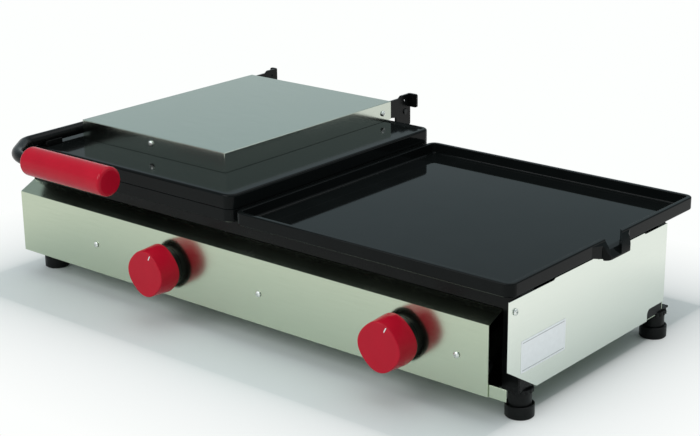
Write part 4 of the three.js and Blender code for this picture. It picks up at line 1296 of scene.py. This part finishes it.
# Bare label plate on the right side panel

LABEL_Y = (25 * MM, 109 * MM)
LABEL_Z = (24 * MM, 60 * MM)
LABEL_HEIGHT = 0.3 * MM
LABEL_BORDER = 2.6 * MM
LABEL_CORNER = 1.5 * MM
LABEL_EDGE = 0.1 * MM
LINE_WIDTH = 0.5 * MM
LINE_SEAT = 0.05 * MM
LINE_HEIGHT = 0.04 * MM


def label_plate():
    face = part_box("side_panel_right")[1].x
    front = front_face()
    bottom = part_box("base_pan")[0].z
    y0, y1 = (front + y for y in LABEL_Y)
    z0, z1 = (bottom + z for z in LABEL_Z)
    outline = rounded_rectangle(y0, y1, z0, z1, LABEL_CORNER)
    plate = rounded(pulled("label", outline, "x", face, face + LABEL_HEIGHT), LABEL_EDGE)
    piece("label_plate", plate, BASE, "label", "white_print")
    border = LABEL_BORDER
    raised = face + LABEL_HEIGHT
    for name, z in (("upper", z1 - border), ("lower", z0 + border)):
        line = cuboid("line", (raised - LINE_SEAT, y0 + border, z - LINE_WIDTH / 2),
                      (raised + LINE_HEIGHT, y1 - border, z + LINE_WIDTH / 2))
        piece(f"label_line_{name}", line, BASE, "print_line", "white_print")


label_plate()


# Studio: pale floor, white surroundings, soft lamps and the photograph's camera

FLOOR_SIZE = 30.0
FLOOR_COLOUR = (0.70, 0.75, 0.75)
FADE_REACH = 0.2
FADE_SHIFT = (0.02, 0.0)
FADE_POWER_SEEN = 0.42
FADE_POWER_MIRRORED = 1.3
FADE_WHITE = (0.985, 1, 0.99)
REFLECTED_STOPS = (
    (0.0, (0.95, 0.97, 0.96)),
    (0.14, (0.62, 0.69, 0.70)),
    (0.31, (0.37, 0.47, 0.50)),
    (0.5, (0.36, 0.42, 0.45)),
)
SOFT_LIGHT = (0.34, 0.37, 0.38)
SEEN_WHITE = (1, 1, 1)
LAMP_TARGET = (0, 0, 0.1)
LAMPS = {
    "key": ((0.5, 0.5, 2.9), 3.6, 3.6, 46),
    "fill": ((-0.7, -2.4, 1.9), 2.5, 1.5, 42),
}


def floor():
    half = FLOOR_SIZE / 2
    corners = [(-half, -half, 0), (half, -half, 0), (half, half, 0), (-half, half, 0)]
    mesh = bpy.data.meshes.new("studio_floor")
    mesh.from_pydata(corners, [], [(0, 1, 2, 3)])
    ground = linked("studio_floor", mesh)
    look = Look("floor_white")
    look.set(Roughness=0.6, Specular_IOR_Level=0.2)
    look.colour(look.noise(3, detail=2), FLOOR_COLOUR, [share * 1.01 for share in FLOOR_COLOUR])
    fade_to_white(look)
    mesh.materials.append(look.material)


def fade_to_white(look):
    """The floor fades to plain white away from the object, and keeps the shadow close to it."""
    tree = look.tree
    high = cad_box[1]
    shifted = vector_math(tree, "ADD", look.place, (*FADE_SHIFT, 0))
    folded = vector_math(tree, "ABSOLUTE", shifted)
    outside = vector_math(tree, "SUBTRACT", folded, (high[0], high[1], 0))
    outside = vector_math(tree, "MAXIMUM", outside, (0, 0, 0))
    away = tree.nodes.new("ShaderNodeVectorMath")
    away.operation = "LENGTH"
    tree.links.new(outside, away.inputs[0])
    reach_share = look.ranged(away.outputs["Value"], 0, 1, 0, FADE_REACH)
    path = tree.nodes.new("ShaderNodeLightPath")
    power = look.ranged(path.outputs["Is Glossy Ray"], FADE_POWER_SEEN, FADE_POWER_MIRRORED, 0, 1)
    white_share = number_math(tree, "POWER", reach_share, power)
    seen = number_math(tree, "ADD", path.outputs["Is Camera Ray"], path.outputs["Is Glossy Ray"])
    seen = number_math(tree, "ADD", seen, path.outputs["Is Transmission Ray"])
    white = tree.nodes.new("ShaderNodeEmission")
    white.inputs["Color"].default_value = (*FADE_WHITE, 1)
    share = number_math(tree, "MULTIPLY", seen, white_share)
    surface = mixed_shader(tree, share, look.shader.outputs["BSDF"], white.outputs["Emission"])
    tree.links.new(surface, tree.nodes["Material Output"].inputs["Surface"])


def vector_math(tree, operation, value, other=None):
    node = tree.nodes.new("ShaderNodeVectorMath")
    node.operation = operation
    tree.links.new(value, node.inputs[0])
    if other is not None:
        node.inputs[1].default_value = other
    return node.outputs["Vector"]


def number_math(tree, operation, value, other):
    node = tree.nodes.new("ShaderNodeMath")
    node.operation = operation
    tree.links.new(value, node.inputs[0])
    tree.links.new(other, node.inputs[1])
    return node.outputs["Value"]


def mixed_shader(tree, share, first, second):
    mix = tree.nodes.new("ShaderNodeMixShader")
    for value, place in ((share, "Fac"), (first, 1), (second, 2)):
        tree.links.new(value, mix.inputs[place])
    return mix.outputs["Shader"]


def background(tree, colour):
    node = tree.nodes.new("ShaderNodeBackground")
    node.inputs["Color"].default_value = (*colour, 1)
    return node.outputs["Background"]


def world():
    """White to the camera, a soft grey as light, and white falling to grey overhead in reflections."""
    surroundings = bpy.data.worlds.new("studio")
    bpy.context.scene.world = surroundings
    surroundings.use_nodes = True
    tree = surroundings.node_tree
    tree.nodes.clear()
    out = tree.nodes.new("ShaderNodeOutputWorld")
    path = tree.nodes.new("ShaderNodeLightPath")
    place = tree.nodes.new("ShaderNodeTexCoord")
    axes = tree.nodes.new("ShaderNodeSeparateXYZ")
    tree.links.new(place.outputs["Generated"], axes.inputs["Vector"])
    ramp = tree.nodes.new("ShaderNodeValToRGB")
    tree.links.new(axes.outputs["Z"], ramp.inputs["Fac"])
    stops = ramp.color_ramp.elements
    for i, (height, colour) in enumerate((REFLECTED_STOPS[0], REFLECTED_STOPS[-1])):
        stops[i].position = height
        stops[i].color = (*colour, 1)
    for height, colour in REFLECTED_STOPS[1:-1]:
        stops.new(height).color = (*colour, 1)
    mirrored = tree.nodes.new("ShaderNodeBackground")
    tree.links.new(ramp.outputs["Color"], mirrored.inputs["Color"])
    unseen = mixed_shader(tree, path.outputs["Is Glossy Ray"], background(tree, SOFT_LIGHT),
                          mirrored.outputs["Background"])
    surface = mixed_shader(tree, path.outputs["Is Camera Ray"], unseen, background(tree, SEEN_WHITE))
    tree.links.new(surface, out.inputs["Surface"])


def lamp(name, place, width, height, power):
    light = bpy.data.lights.new(name, "AREA")
    light.shape = "RECTANGLE"
    light.size = width
    light.size_y = height
    light.energy = power
    made = linked(name, light)
    made.location = place
    made.rotation_mode = "QUATERNION"
    made.rotation_quaternion = (Vector(LAMP_TARGET) - Vector(place)).to_track_quat("-Z", "Y")


def camera():
    yaw, pitch, roll = (math.radians(a) for a in (CAMERA_YAW, CAMERA_PITCH, CAMERA_ROLL))
    forward = Vector((-math.sin(yaw) * math.cos(pitch), math.cos(yaw) * math.cos(pitch), -math.sin(pitch)))
    right = Vector((math.cos(yaw), math.sin(yaw), 0))
    up = right.cross(forward)
    across_image = math.cos(roll) * right + math.sin(roll) * up
    up_image = -math.sin(roll) * right + math.cos(roll) * up
    data = bpy.data.cameras.new("camera")
    data.sensor_width = SENSOR_WIDTH
    data.lens = FOCAL_PIXELS / PHOTO_WIDTH * SENSOR_WIDTH
    data.shift_x = (PHOTO_WIDTH / 2 - PRINCIPAL_X) / PHOTO_WIDTH
    data.shift_y = (PRINCIPAL_Y - PHOTO_HEIGHT / 2) / PHOTO_WIDTH
    data.clip_start, data.clip_end = CAMERA_CLIP
    made = linked("camera", data)
    axes = Matrix((across_image, up_image, -forward)).transposed().to_4x4()
    made.matrix_world = Matrix.Translation(CAMERA_PLACE) @ axes
    bpy.context.scene.camera = made


floor()
world()
for lamp_name, lamp_values in LAMPS.items():
    lamp(lamp_name, *lamp_values)
camera()
bpy.context.scene.view_settings.view_transform = "Standard"
